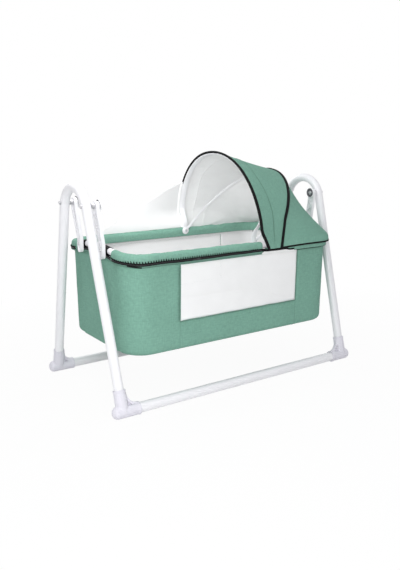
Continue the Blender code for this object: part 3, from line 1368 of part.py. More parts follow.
def make_hub_pins():
    """The shouldered rivet that holds both bows' eyes against the rim tube."""
    for depth, sign in (("near", -1), ("far", 1)):
        tube_face = RIM_RADIUS + GAP
        eye_outer = RIM_HALF_WIDTH - FRONT_EYE_Y - BOW_THICKNESS / 2 - GAP
        eye_inner = RIM_HALF_WIDTH - MIDDLE_EYE_Y + BOW_THICKNESS / 2 + GAP
        profile = [
            (eye_inner + HUB_HEAD_HEIGHT, 0.0),
            (eye_inner + HUB_HEAD_HEIGHT, HUB_HEAD_RADIUS / 2),
            (eye_inner + HUB_HEAD_HEIGHT / 2, HUB_HEAD_RADIUS),
            (eye_inner, HUB_HEAD_RADIUS),
            (eye_inner, HUB_PIN_RADIUS),
            (eye_outer, HUB_PIN_RADIUS),
            (eye_outer, HUB_COLLAR_RADIUS),
            (tube_face, HUB_COLLAR_RADIUS),
            (tube_face, HUB_PIN_RADIUS),
            (RIM_RADIUS / 3, HUB_PIN_RADIUS),
            (RIM_RADIUS / 3, 0.0),
        ]
        pin = turned_along_x(f"hub_pin_{depth}", profile, SMALL_SIDES)
        pin.data.transform(Matrix.Rotation(-sign * pi / 2, 4, "Z"))
        pin.location = (HUB_X, sign * RIM_HALF_WIDTH, HUB_Z)
        dress(pin, BRIGHT_STEEL)


def make_net():
    """A triangular veil: its foot on the far cuff, one side on the front bow, its top edge taut."""
    right_x = HUB_X - FRONT_BOW_WIDTH / 2
    base_y = RIM_HALF_WIDTH
    foot_z = RIM_Z + RIM_RADIUS + GAP + CUFF_PADDING + NET_LIFT
    height = HOOD_FRONT_HEIGHT - (HUB_Z - RIM_Z)
    rows = []
    for row in range(NET_ROWS + 1):
        line = []
        for column in range(NET_COLUMNS + 1):
            along = mix(1 / NET_COLUMNS / 2, 1.0, column / NET_COLUMNS)
            up = row / NET_ROWS
            z = foot_z + (NET_TOP_Z - foot_z) * up * along
            bow_y = arch_width(z - HUB_Z, height, HOOD_FRONT_HALF_WIDTH, HOOD_FRONT_POWER_SHARE)
            bow_y = mix(base_y, bow_y, smooth((z - foot_z) / NET_SETTLE_HEIGHT))
            x = mix(NET_LEFT_X, front_x(z) - NET_BOW_GAP, along)
            line.append(Vector((x, mix(base_y, bow_y, along * along), z)))
        rows.append(line)
    sheet_between("mosquito_net", rows, NET_FABRIC, WHITE_NET)


def main():
    clear_scene()
    make_collections()
    make_arches()
    make_rails()
    make_corner_shoes()
    make_upper_pivots()
    make_hanger_arms()
    make_lower_pins()
    make_rim()
    make_cuffs()
    make_hanging_tabs()
    make_basket()
    make_windows()
    make_zip()
    make_bed()
    make_hood()
    make_bows()
    make_hub_pins()
    make_net()


main()
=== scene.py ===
"""Portable baby cradle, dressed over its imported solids: tubes, mouldings, sewn cloth, nets and zip.

+X runs along the cradle to its hood end, +Y to the back, +Z up. All lengths are in metres.
"""

from math import acos, atan2, cos, exp, hypot, pi, radians, sin, sqrt

import bmesh
import bpy
from bpy.props import FloatProperty, FloatVectorProperty, IntProperty, PointerProperty
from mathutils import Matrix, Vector, noise


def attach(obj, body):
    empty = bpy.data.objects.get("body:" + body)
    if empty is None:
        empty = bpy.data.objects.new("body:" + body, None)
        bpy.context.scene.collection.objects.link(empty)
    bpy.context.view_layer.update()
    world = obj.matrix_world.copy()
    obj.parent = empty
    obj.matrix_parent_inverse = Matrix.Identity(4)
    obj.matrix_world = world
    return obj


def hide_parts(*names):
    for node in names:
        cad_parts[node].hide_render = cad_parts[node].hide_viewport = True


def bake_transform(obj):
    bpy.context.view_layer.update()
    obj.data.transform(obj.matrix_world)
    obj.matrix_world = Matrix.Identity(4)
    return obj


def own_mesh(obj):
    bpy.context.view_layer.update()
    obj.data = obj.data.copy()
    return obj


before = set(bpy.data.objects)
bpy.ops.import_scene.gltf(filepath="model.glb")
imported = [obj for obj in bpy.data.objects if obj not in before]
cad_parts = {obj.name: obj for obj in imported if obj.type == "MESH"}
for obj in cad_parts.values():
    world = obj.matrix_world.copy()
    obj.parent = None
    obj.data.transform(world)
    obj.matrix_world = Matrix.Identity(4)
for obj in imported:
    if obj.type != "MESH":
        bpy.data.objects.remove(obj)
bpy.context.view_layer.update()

bl_info = {
    "name": "Portable Baby Cradle",
    "version": (1, 0, 0),
    "blender": (4, 5, 0),
    "location": "3D View > Sidebar > Cradle",
    "description": "Makes a swinging baby cradle with a hood, a net and a zip-on fabric bassinet",
    "category": "Add Mesh",
}

# The stand and its pivots
LEG_RADIUS = 0.0165
RAIL_RADIUS = 0.0175
FOOT_HALF_LENGTH = 0.500
FOOT_HALF_WIDTH = 0.265
ARCH_TOP_Z = 0.7224
ARCH_BEND_RADIUS = 0.0934
ARCH_LEAN = 0.0195
LEG_FOOT_LIFT = 0.010
RAIL_END_INSET = 0.030
RAIL_Z = 0.0203
PIVOT_Z = 0.666
SPACER_LENGTH = 0.0123
ARM_THICKNESS = 0.012
SOLID_GAP = 0.0003

# The rim tube and what wraps it
RIM_RADIUS = 0.011
RIM_HALF_LENGTH = 0.447
RIM_HALF_WIDTH = 0.240
RIM_CORNER_RADIUS = 0.085
RIM_Z = 0.504
RIM_RISE = 0.020
RIM_CORNER_STEPS = 5
CUFF_PADDING = 0.0032
CUFF_DROP_OUTSIDE = 0.0215
CUFF_DROP_INSIDE = 0.0205
CUFF_END_Y = 0.135
CUFF_NEAR_STOP_X = 0.083
CUFF_NEAR_START_X = 0.116
TAB_WIDTH = 0.040

# The fabric basket, its windows and its zip
BASKET_OFFSET = 0.004
BASKET_TOP_Z = 0.478
BASKET_BOTTOM_Z = 0.175
LINING_TOP_Z = 0.4860
BASKET_TAPER_LENGTH = 0.002
BASKET_TAPER_WIDTH = 0.006
BASKET_FABRIC = 0.003
LINING_INSET = BASKET_FABRIC + 0.0006
LINING_FABRIC = 0.0009
BASKET_EDGE_RADIUS = 0.018
BASKET_SIDE_REACH = 0.078
WINDOW_HALF_LENGTH = 0.262
WINDOW_SILL_Z = 0.276
WINDOW_HEAD_Z = 0.4735
ZIP_MIDDLE_Z = 0.4890
ZIP_HALF_HEIGHT = 0.0053
ZIP_FACE_OFFSET = 0.0168
ZIP_TAPE_THICKNESS = 0.0012
ZIP_GAP_BLEND = 0.02
ZIP_GAP_DROP = 0.0022
ZIP_GAP_HALF_HEIGHT = 0.0046
ZIP_GAP_OFFSET = 0.0188
ZIP_HOOD_START_X = 0.185
ZIP_HOOD_BLEND = 0.035
ZIP_HOOD_Z = 0.4800
ZIP_HOOD_HALF_HEIGHT = 0.0032
ZIP_HOOD_OFFSET = 0.0130
ZIP_TEETH_PITCH = 0.0044
COVER_START_X = 0.236
COVER_END_Y = -0.150
SLIDER_X = -0.194
STITCH_PITCH = 0.0092
MATTRESS_LOW_Z = 0.1840
MATTRESS_THICKNESS = 0.042

# The hood's bows and fabric
HUB_X = 0.067
HUB_Z = 0.508
BOW_THICKNESS = 0.0024
BOW_STRIP_THICKNESS = 0.0018
FRONT_BOW_SLOPE = 0.26
FRONT_BOW_WIDTH = 0.022
FRONT_BOW_EYE_RADIUS = 0.0155
MIDDLE_BOW_WIDTH = 0.010
MIDDLE_BOW_EYE_RADIUS = 0.0105
BOW_STEPS = 14
HOOD_FABRIC = 0.003
HOOD_BOW_GAP = 0.0014
HOOD_CUFF_GAP = 0.0004
HOOD_STEPS = 13
HOOD_FRONT_LEAN = 0.0237
HOOD_FRONT_HEIGHT = 0.329
HOOD_FRONT_HALF_WIDTH = 0.275
HOOD_FRONT_POWER_SHARE = 2.09
HOOD_FRONT_KNEE_Z = 0.552
HOOD_FRONT_FOOT_X = 0.109
HOOD_FRONT_FOOT_Z = 0.4985
HOOD_MIDDLE_X = 0.115
HOOD_MIDDLE_TILT_SHARE = 0.687
HOOD_MIDDLE_REACH = 0.329
HOOD_MIDDLE_HALF_WIDTH = 0.274
HOOD_MIDDLE_POWER_SHARE = 1.849
HOOD_MIDDLE_KNEE_Z = 0.600
HOOD_MIDDLE_FOOT_X = 0.170
HOOD_HEM_Z = 0.4925
HOOD_SEAM_GAP = 0.0034
HOOD_CORNER_SWELL = 0.0050
HOOD_REAR_START_X = 0.176
HOOD_NOTCH_Y = 0.1085
HOOD_NOTCH_BLEND = 0.0215
FRONT_BOW_SETTLE_START = 0.028
FRONT_BOW_SETTLE_HEIGHT = 0.072
MIDDLE_BOW_SETTLE_START = 0.024
MIDDLE_BOW_SETTLE_HEIGHT = 0.085
MIDDLE_BOW_CLEARANCE = 0.0035
MIDDLE_BOW_BEND_HEIGHT = 0.120
NET_LEFT_X = -0.330
NET_TOP_Z = 0.709
NET_LIFT = 0.0004
NET_SETTLE_HEIGHT = 0.080
NET_BOW_GAP = 0.0008
NET_ROWS = 36
NET_COLUMNS = 60

CRADLE_MIDDLE = (0.0, 0.0, 0.38)
CORNERS = {
    "front_left": (-1, -1),
    "front_right": (1, -1),
    "rear_left": (-1, 1),
    "rear_right": (1, 1),
}


def a_colour(name, description, default):
    return FloatVectorProperty(
        name=name, description=description, default=default, subtype="COLOR", min=0.0, max=1.0
    )


def a_length(name, description, default, least, most):
    settings = dict(name=name, description=description, default=default)
    return FloatProperty(unit="LENGTH", precision=5, min=least, max=most, **settings)


class CradleColours(bpy.types.PropertyGroup):
    """The cradle's colours."""

    canvas: a_colour(
        "Canvas", "Outer fabric of the basket, the hood and the cuffs", (0.220, 0.428, 0.339)
    )
    lining: a_colour("Lining", "White fabric inside the basket and the hood", (0.90, 0.90, 0.90))
    coating: a_colour("Coating", "Powder coat of the tubes", (0.87, 0.865, 0.89))
    moulding: a_colour("Moulding", "White plastic of the arms and the bows", (0.90, 0.90, 0.92))
    shoe: a_colour("Shoes", "Grey plastic of the corner shoes", (0.74, 0.725, 0.79))
    binding: a_colour(
        "Binding", "Black tape of the zip, bindings and hanging tabs", (0.006, 0.006, 0.0065)
    )
    board: a_colour("Base board", "Bare fibreboard under the mattress", (0.42, 0.30, 0.19))


class CradleSizes(bpy.types.PropertyGroup):
    """The sizes of the cloth's details, which a user can change."""

    weave_pitch: a_length(
        "Weave pitch", "Distance between two yarns of the canvas", 0.0013, 0.0004, 0.01
    )
    net_pitch: a_length(
        "Net pitch", "Distance between two threads of the mosquito net", 0.0022, 0.0008, 0.02
    )
    net_thread: FloatProperty(
        name="Net thread",
        description="Share of each cell of the net that its threads cover",
        default=0.075,
        min=0.02,
        max=0.9,
        subtype="FACTOR",
    )
    window_thread: FloatProperty(
        name="Window thread",
        description="Share of each cell of the window mesh that its threads cover",
        default=0.56,
        min=0.02,
        max=0.95,
        subtype="FACTOR",
    )
    canvas_thickness: a_length(
        "Canvas thickness", "Thickness of the lined canvas", 0.0022, 0.0005, 0.01
    )
    wrinkle: a_length("Wrinkle", "Height of the soft wrinkles in the canvas", 0.0016, 0.0, 0.01)
    hood_sag: a_length(
        "Hood sag", "How far the hood's fabric hollows between two bows", 0.0030, 0.0, 0.03
    )
    binding_width: a_length(
        "Binding width", "Width of the black binding on the hood's edges", 0.0095, 0.002, 0.02
    )
    mattress_pressure: FloatProperty(
        name="Mattress filling",
        description="Pressure that fills the mattress while it settles",
        default=4.0,
        min=0.0,
        max=20.0,
    )
    tube_sides: IntProperty(
        name="Tube sides",
        description="Number of faces round each tube",
        default=36,
        min=12,
        max=96,
    )


# Lines and numbers


def smooth(share):
    share = min(max(share, 0.0), 1.0)
    return share * share * (3 - 2 * share)


def mix(a, b, share):
    return a + (b - a) * share


def ripple(place, size, seed):
    """A smooth number between about -1 and 1 at a place, the same on every run."""
    return noise.noise(Vector(place) / size + Vector((seed, 1.7 * seed, 2.3 * seed)))


def arc(centre, radius, start, end, steps):
    """Points of a flat arc, its angles in radians."""
    angles = [mix(start, end, i / steps) for i in range(steps + 1)]
    return [(centre[0] + radius * cos(a), centre[1] + radius * sin(a)) for a in angles]


def bent(points, steps):
    """A smooth line through all the points, with a few steps between each pair."""
    count = len(points)
    line = []
    for i in range(count - 1):
        b, c = points[i], points[i + 1]
        a = points[i - 1] if i else b + (b - c)
        d = points[i + 2] if i + 2 < count else c + (c - b)
        slope, curve, twist = c - a, a * 2 - b * 5 + c * 4 - d, b * 3 - a - c * 3 + d
        for j in range(steps):
            t = j / steps
            line.append((b * 2 + slope * t + curve * t * t + twist * t * t * t) / 2)
    line.append(points[-1].copy())
    return line


def distances(line):
    """How far along a line each of its points is."""
    along = [0.0]
    for a, b in zip(line, line[1:]):
        along.append(along[-1] + (Vector(b) - Vector(a)).length)
    return along


def line_length(line):
    return distances(line)[-1]


def resampled(line, count):
    """The same line with evenly spaced points."""
    lengths = distances(line)
    points = []
    k = 0
    for i in range(count + 1):
        target = lengths[-1] * i / count
        while k < len(line) - 2 and lengths[k + 1] < target:
            k += 1
        share = (target - lengths[k]) / (lengths[k + 1] - lengths[k])
        points.append(line[k].lerp(line[k + 1], share))
    return points


def whole(half):
    """Both halves of a symmetric line: from its near foot over the top to its far foot."""
    near = [Vector((p.x, -p.y, p.z)) for p in half]
    return near + half[-2::-1]


def between(first, last, share):
    return [a.lerp(b, share) for a, b in zip(first, last)]


# The stand's own geometry
ARCH_CENTRE_Z = ARCH_TOP_Z - ARCH_BEND_RADIUS
LEG_SPLAY = acos(
    ARCH_BEND_RADIUS / hypot(FOOT_HALF_WIDTH, ARCH_CENTRE_Z - RAIL_Z)
) - atan2(ARCH_CENTRE_Z - RAIL_Z, FOOT_HALF_WIDTH)


def arch_x(z):
    """Distance of the arch's centre line from the middle of the cradle at a height."""
    return FOOT_HALF_LENGTH + ARCH_LEAN * (z - RAIL_Z) / (ARCH_TOP_Z - RAIL_Z)


def leg_y(z):
    """Distance of a leg's centre line from the middle at a height, straight leg and bend alike."""
    tangent_z = ARCH_CENTRE_Z + ARCH_BEND_RADIUS * sin(LEG_SPLAY)
    if z <= tangent_z:
        tangent_y = ARCH_BEND_RADIUS * cos(LEG_SPLAY)
        return tangent_y + (tangent_z - z) * sin(LEG_SPLAY) / cos(LEG_SPLAY)
    return sqrt(ARCH_BEND_RADIUS**2 - (z - ARCH_CENTRE_Z) ** 2)


PIVOT_X = arch_x(PIVOT_Z)
PIVOT_Y = leg_y(PIVOT_Z)
ARM_OUTER_X = PIVOT_X - LEG_RADIUS - 2 * SOLID_GAP - SPACER_LENGTH
ARM_INNER_X = ARM_OUTER_X - ARM_THICKNESS


def rim_z(y):
    """Height of the rim tube's centre line, which arches up towards the middle of each end."""
    return RIM_Z + RIM_RISE * cos(pi * min(abs(y) / RIM_HALF_WIDTH, 1.0) / 2) ** 2


LOWER_PIN_Z = rim_z(PIVOT_Y)
ARM_FOOT_INNER_X = RIM_HALF_LENGTH + RIM_RADIUS + 0.0024 + 2 * SOLID_GAP


def rim_quarter(sign_x, sign_y, corner_steps=14, end_steps=12, side_steps=16):
    """Points of a quarter of the rim: from mid side, round the corner, to mid end."""
    side = RIM_HALF_LENGTH - RIM_CORNER_RADIUS
    end = RIM_HALF_WIDTH - RIM_CORNER_RADIUS
    points = [(side * i / side_steps, RIM_HALF_WIDTH) for i in range(side_steps)]
    points += arc((side, end), RIM_CORNER_RADIUS, pi / 2, 0.0, corner_steps)
    points += [(RIM_HALF_LENGTH, end * (1 - i / end_steps)) for i in range(1, end_steps + 1)]
    return [Vector((sign_x * x, sign_y * y, rim_z(y))) for x, y in points]


def rim_ring(**steps):
    """The whole rim as one closed row of points, travelling with the outside on its left."""
    right_rear = rim_quarter(1, 1, **steps)
    right_front = rim_quarter(1, -1, **steps)[::-1]
    left_front = rim_quarter(-1, -1, **steps)
    left_rear = rim_quarter(-1, 1, **steps)[::-1]
    return right_rear + right_front[1:] + left_front[1:] + left_rear[1:-1]


# Making pieces


def skin(bm, rows, wrap_rows=False, wrap_columns=False):
    """Joins rows of points into faces and lays a map in metres on them; gives back the vertices."""
    layer = bm.loops.layers.uv.get("weave") or bm.loops.layers.uv.new("weave")
    grid = [[bm.verts.new(point) for point in row] for row in rows]
    middle_row = rows[len(rows) // 2]
    middle = len(rows[0]) // 2
    across = [0.0]
    for j in range(len(middle_row)):
        step = middle_row[(j + 1) % len(middle_row)] - middle_row[j]
        across.append(across[-1] + step.length)
    along = [0.0]
    for i in range(len(rows)):
        step = rows[(i + 1) % len(rows)][middle] - rows[i][middle]
        along.append(along[-1] + step.length)
    for i in range(len(rows) if wrap_rows else len(rows) - 1):
        k = (i + 1) % len(rows)
        for j in range(len(rows[0]) if wrap_columns else len(rows[0]) - 1):
            m = (j + 1) % len(rows[0])
            face = bm.faces.new((grid[i][j], grid[i][m], grid[k][m], grid[k][j]))
            places = ((j, i), (j + 1, i), (j + 1, i + 1), (j, i + 1))
            for loop, (column, row) in zip(face.loops, places):
                loop[layer].uv = (across[column], along[row])
    return grid


def point_outward(bm, centre):
    """Turns the faces of an open sheet so that they look away from a point."""
    bm.normal_update()
    away = sum(
        face.normal.dot(face.calc_center_median() - Vector(centre)) * face.calc_area()
        for face in bm.faces
    )
    if away < 0:
        bmesh.ops.reverse_faces(bm, faces=bm.faces)
        bm.normal_update()


def placed(name, data):
    obj = bpy.data.objects.new(name, data)
    bpy.context.scene.collection.objects.link(obj)
    return obj


def painted(obj, finish):
    """Gives a piece one material in place of those that it has."""
    obj.data.materials.clear()
    obj.data.materials.append(bpy.data.materials[finish])


def piece(name, bm, finishes, body=None, closed=True, sharp=35):
    """Turns a finished bmesh into a piece with its materials, which rides on a body."""
    if closed:
        bmesh.ops.recalc_face_normals(bm, faces=bm.faces)
    mesh = bpy.data.meshes.new(name)
    bm.to_mesh(mesh)
    bm.free()
    for finish in [finishes] if isinstance(finishes, str) else finishes:
        mesh.materials.append(bpy.data.materials[finish])
    mesh.shade_smooth()
    mesh.set_sharp_from_angle(angle=radians(sharp))
    obj = placed(name, mesh)
    if body:
        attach(obj, body)
    return obj


def settled(obj):
    """Applies the object's modifiers to its mesh."""
    bpy.context.view_layer.update()
    graph = bpy.context.evaluated_depsgraph_get()
    mesh = bpy.data.meshes.new_from_object(obj.evaluated_get(graph))
    obj.modifiers.clear()
    obj.data = mesh
    return obj


def thickened(obj, thickness, inner_material=0):
    """Gives an open sheet a thickness behind its faces, which can have a lining of its own."""
    shell = obj.modifiers.new("thickness", "SOLIDIFY")
    shell.thickness = thickness
    shell.offset = -1.0
    shell.material_offset = inner_material
    return settled(obj)


def edged(obj, width, apply=True):
    """Rounds the sharp edges of a rigid piece."""
    bevel = obj.modifiers.new("edges", "BEVEL")
    bevel.width = width
    bevel.segments = 2
    bevel.limit_method = "ANGLE"
    bevel.angle_limit = radians(38)
    return settled(obj) if apply else obj


UPRIGHT = (0.0, 0.0, 1.0)
SIDEWAYS = (1.0, 0.0, 0.0)


def swept(bm, path, section, up, cyclic=False):
    """Sweeps a closed section of (to the right of travel, up) points along a path.

    The section can also be a function of the point's number, for one that changes on its way.
    """
    rows = []
    count = len(path)
    for i, place in enumerate(path):
        ahead = path[(i + 1) % count] if cyclic else path[min(i + 1, count - 1)]
        behind = path[i - 1] if cyclic or i else path[0]
        travel = (ahead - behind).normalized()
        lift = up[i] if isinstance(up[0], Vector) else Vector(up)
        right = travel.cross(lift).normalized()
        raised = right.cross(travel)
        points = section(i) if callable(section) else section
        rows.append([place + right * across + raised * height for across, height in points])
    grid = skin(bm, rows, wrap_rows=cyclic, wrap_columns=True)
    if not cyclic:
        bm.faces.new(grid[0])
        bm.faces.new(reversed(grid[-1]))
    return grid


def ring_of(radius, sides):
    turns = [2 * pi * i / sides for i in range(sides)]
    return [(radius * cos(turn), radius * sin(turn)) for turn in turns]


def band(name, path, section, up, finish, slot, body=None, sharp=60, cyclic=False):
    """A piece made by sweeping a section along a path."""
    bm = bmesh.new()
    swept(bm, path, section, up, cyclic)
    return piece(name, bm, finish, body, sharp=sharp)


def pipe(name, path, radius, sides, finish, slot, body, up=UPRIGHT, cyclic=False):
    """A round tube or cord along a path."""
    return band(name, path, ring_of(radius, sides), up, finish, slot, body, 35, cyclic)


def turned(bm, profile, centre, direction, sides):
    """Turns a profile of (along, radius) points round an axis; it closes there or on itself."""
    axis = Vector(direction).normalized()
    across = axis.orthogonal().normalized()
    up = axis.cross(across)
    spokes = [across * c + up * s for c, s in ring_of(1.0, sides)]
    rows = []
    for along, radius in profile:
        foot = Vector(centre) + axis * along
        rows.append([foot + spoke * max(radius, 0.00001) for spoke in spokes])
    is_ring = profile[0][1] > 0.0
    grid = skin(bm, rows, wrap_rows=is_ring, wrap_columns=True)
    if not is_ring:
        bm.faces.new(grid[0])
        bm.faces.new(reversed(grid[-1]))


def evened(obj, voxel, finish, passes=0):
    """Gives a closed form an even mesh, with its edges smoothed by some passes."""
    remesh = obj.modifiers.new("even", "REMESH")
    remesh.mode = "VOXEL"
    remesh.voxel_size = voxel
    if passes:
        rounded = obj.modifiers.new("rounded", "SMOOTH")
        rounded.factor = 0.5
        rounded.iterations = passes
    settled(obj)
    painted(obj, finish)


def softened(name, node, voxel, passes, finish, body):
    """A copy of a moulded node with its faceted rounds and its edges smoothed, as from a mould."""
    obj = placed(name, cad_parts[node].data.copy())
    evened(obj, voxel, finish, passes)
    obj.data.shade_smooth()
    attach(obj, body)
    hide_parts(node)
    return obj


def refinish(node, finish, bevel):
    """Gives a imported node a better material, and rounds its edges."""
    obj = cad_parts[node]
    painted(obj, finish)
    edged(obj, bevel, apply=False)


# Materials

NET_OPACITY = 0.96
MOULDING_GRAIN = 0.0009


class Reading:
    """A number read off the surface, on which sums can be written plainly."""

    def __init__(self, finish, socket):
        self.finish = finish
        self.socket = socket

    def math(self, operation, *values):
        inputs = dict(enumerate(values))
        return self.finish.node("ShaderNodeMath", {"operation": operation}, inputs)

    def __add__(self, other):
        return self.math("ADD", self, other)

    __radd__ = __add__

    def __sub__(self, other):
        return self.math("SUBTRACT", self, other)

    def __rsub__(self, other):
        return self.math("SUBTRACT", other, self)

    def __mul__(self, other):
        return self.math("MULTIPLY", self, other)

    __rmul__ = __mul__

    def __truediv__(self, other):
        return self.math("DIVIDE", self, other)

    def __gt__(self, other):
        return self.math("GREATER_THAN", self, other)

    def __abs__(self):
        return self.math("ABSOLUTE", self)

    def sine(self):
        return self.math("SINE", self)

    def larger(self, other):
        return self.math("MAXIMUM", self, other)


class Finish:
    """One material: a Principled shader and the readings that vary it over the surface."""

    def __init__(self, name, colour, roughness, metallic=0.0, coat=0.0, sheen=0.0, specular=0.5):
        self.material = bpy.data.materials.new(name)
        self.material.use_nodes = True
        self.tree = self.material.node_tree
        self.shader = self.tree.nodes["Principled BSDF"]
        self.colour = tuple(colour)
        for socket, value in (
            ("Base Color", (*self.colour, 1.0)),
            ("Roughness", roughness),
            ("Metallic", metallic),
            ("Coat Weight", coat),
            ("Sheen Weight", sheen),
            ("Specular IOR Level", specular),
        ):
            self.shader.inputs[socket].default_value = value

    def node(self, kind, settings=None, inputs=None, output=0):
        made = self.tree.nodes.new(kind)
        for key, value in (settings or {}).items():
            setattr(made, key, value)
        for key, value in (inputs or {}).items():
            if isinstance(value, Reading):
                self.tree.links.new(value.socket, made.inputs[key])
            else:
                made.inputs[key].default_value = value
        return Reading(self, made.outputs[output])

    def on_body(self, stretch=(1.0, 1.0, 1.0)):
        """Places on the piece in metres, for pieces cut or moulded in one."""
        place = self.node("ShaderNodeTexCoord", output="Object")
        return self.node("ShaderNodeVectorMath", {"operation": "MULTIPLY"}, {0: place, 1: stretch})

    def on_cloth(self, stretch=(1.0, 1.0, 1.0)):
        """Places on the cloth in metres, along its weft and its warp."""
        place = self.node("ShaderNodeUVMap", {"uv_map": "weave"})
        return self.node("ShaderNodeVectorMath", {"operation": "MULTIPLY"}, {0: place, 1: stretch})

    def split(self, place):
        apart = self.node("ShaderNodeSeparateXYZ", inputs={0: place}).socket.node
        return [Reading(self, apart.outputs[k]) for k in range(3)]

    def noise(self, place, size, detail=2.0, roughness=0.5):
        inputs = {"Vector": place, "Scale": 1.0 / size, "Detail": detail, "Roughness": roughness}
        return self.node("ShaderNodeTexNoise", inputs=inputs)

    def tint(self, mask, low, high):
        """Paints the surface between two shades of its colour by a reading from 0 to 1."""
        shades = [tuple(min(c * k, 1.0) for c in self.colour) + (1.0,) for k in (low, high)]
        inputs = {0: mask, 6: shades[0], 7: shades[1]}
        painted = self.node("ShaderNodeMix", {"data_type": "RGBA"}, inputs, output=2)
        self.feed("Base Color", painted)

    def feed(self, socket, reading):
        self.tree.links.new(reading.socket, self.shader.inputs[socket])

    def relief(self, height, depth):
        inputs = {"Height": height, "Distance": depth, "Strength": 1.0}
        self.feed("Normal", self.node("ShaderNodeBump", inputs=inputs))


def yarns(finish, place, pitch):
    """Height of a plain weave, whose yarns pass over and under each other, from 0 to 1."""
    across, along, _ = finish.split(place)
    warp = (across * (pi / pitch)).sine()
    weft = (along * (pi / pitch)).sine()
    over = warp * weft > 0.0
    return abs(warp) * over + abs(weft) * (1.0 - over)


def woven(name, colour, pitch, low=0.76, high=1.22, on_cloth=True):
    """Canvas: a plain weave with slubs in both directions and a faint clouding from handling; the
    weave's height also darkens its colour between the yarns as painted shade.
    """
    finish = Finish(name, colour, 0.9, sheen=0.02, specular=0.10)
    finish.shader.inputs["Sheen Roughness"].default_value = 0.5
    places = finish.on_cloth if on_cloth else finish.on_body
    weave = yarns(finish, places(), pitch)
    weft_slubs = finish.noise(places((1.0, 4.0, 1.0)), 0.018, 3.0, 0.6)
    warp_slubs = finish.noise(places((4.0, 1.0, 1.0)), 0.018, 3.0, 0.6)
    clouds = finish.noise(finish.on_body(), 0.11, 3.0)
    # The weave's height makes the colour darker between the yarns and lighter on their crests:
    # painted shade; the slubs and the clouding are the cloth's own tone.
    shade = weave * 0.20 + (weft_slubs + warp_slubs) * 0.95 + clouds * 0.35 - 0.72
    finish.tint(shade, low, high)
    finish.feed("Roughness", 0.96 - weave * 0.14)
    finish.relief(weave + (weft_slubs + warp_slubs) * 0.8, 0.00032)
    return finish


def fleece(name, colour):
    """White lining: a felted cloth with soft creases and hardly any yarn to see."""
    finish = Finish(name, colour, 0.93, sheen=0.10, specular=0.2)
    felt = finish.noise(finish.on_body(), 0.0016, 3.0)
    creases = finish.noise(finish.on_body((1.0, 1.0, 2.5)), 0.055, 4.0, 0.6)
    # The creases also set the colour, darker in their hollows and lighter on their ridges: painted
    # shade; the felt is the cloth's own tone.
    finish.tint(felt * 0.45 + creases * 0.55, 0.95, 1.05)
    finish.feed("Roughness", 0.88 + felt * 0.1)
    finish.relief(felt * 0.25 + creases * 2.2, 0.0009)
    return finish


def netting(name, colour, pitch, thread):
    """A net of fine threads with open holes between them."""
    finish = Finish(name, colour, 0.75, sheen=0.1)
    across, along, _ = finish.split(finish.on_cloth())
    edge = sin(thread * pi / 2)
    hole_across = abs((across * (pi / pitch)).sine()) > edge
    hole_along = abs((along * (pi / pitch)).sine()) > edge
    threads = 1.0 - hole_across * hole_along
    finish.feed("Alpha", threads * NET_OPACITY)
    dust = finish.noise(finish.on_body(), 0.05, 2.0)
    finish.tint(dust, 0.97, 1.03)
    return finish


def webbing(name, colour, pitch):
    """Black tape with ribs across it and a painted highlight on the top of each rib."""
    finish = Finish(name, colour, 0.75, specular=0.10)
    _, along, _ = finish.split(finish.on_cloth())
    ribs = (along * (2 * pi / pitch)).sine() * 0.5 + 0.5
    fibres = finish.noise(finish.on_cloth((1.0, 6.0, 1.0)), 0.0014, 2.0)
    # The rib tops are painted lighter: a painted highlight; the fibres are the tape's own tone.
    finish.tint(ribs * 0.5 + fibres * 0.5, 0.5, 1.7)
    finish.feed("Roughness", 0.80 - ribs * 0.18)
    finish.relief(ribs + fibres * 0.5, 0.00025)
    return finish


def powder_coat(name, colour):
    """White powder coat on steel: a fine orange peel under a satin shine."""
    finish = Finish(name, colour, 0.3, coat=0.12)
    finish.shader.inputs["Coat Roughness"].default_value = 0.18
    peel = finish.noise(finish.on_body(), 0.0022, 1.0)
    clouds = finish.noise(finish.on_body(), 0.12, 3.0)
    scuffs = finish.noise(finish.on_body((1.0, 1.0, 0.12)), 0.006, 3.0) > 0.71
    finish.tint(clouds * 0.8 + scuffs * -0.3 + 0.1, 0.96, 1.03)
    finish.feed("Roughness", 0.26 + clouds * 0.10 + scuffs * 0.12)
    finish.relief(peel, 0.00010)
    return finish


def moulded(name, colour, roughness):
    """Moulded plastic: a spark-eroded grain, with flow marks that run through it."""
    finish = Finish(name, colour, roughness)
    speckle = finish.noise(finish.on_body(), MOULDING_GRAIN, 1.0)
    flow = finish.noise(finish.on_body((1.0, 1.0, 0.35)), 0.022, 3.0, 0.6)
    finish.tint(flow * 0.7 + speckle * 0.3, 0.93, 1.06)
    finish.feed("Roughness", roughness - 0.06 + flow * 0.12)
    finish.relief(speckle * 0.6 + flow * 0.4, 0.00012)
    return finish


def turned_steel(name):
    """Zinc-plated steel with fine turning marks and a cloudy passivation."""
    finish = Finish(name, (0.62, 0.62, 0.64), 0.3, metallic=1.0)
    marks = finish.noise(finish.on_body((14.0, 1.0, 1.0)), 0.006, 2.0)
    clouds = finish.noise(finish.on_body(), 0.004, 2.0)
    finish.tint(clouds * 0.6 + marks * 0.4, 0.84, 1.12)
    finish.feed("Roughness", 0.24 + marks * 0.16)
    finish.relief(marks, 0.00005)
    return finish


def pressed_fibres(name, colour):
    """Fibreboard: pressed brown fibres with darker flecks."""
    finish = Finish(name, colour, 0.85)
    fibres = finish.noise(finish.on_body((1.0, 5.0, 1.0)), 0.006, 4.0, 0.7)
    flecks = finish.noise(finish.on_body(), 0.0024, 2.0)
    finish.tint(fibres * 0.7 + flecks * 0.3, 0.72, 1.2)
    finish.relief(fibres, 0.0003)
    return finish


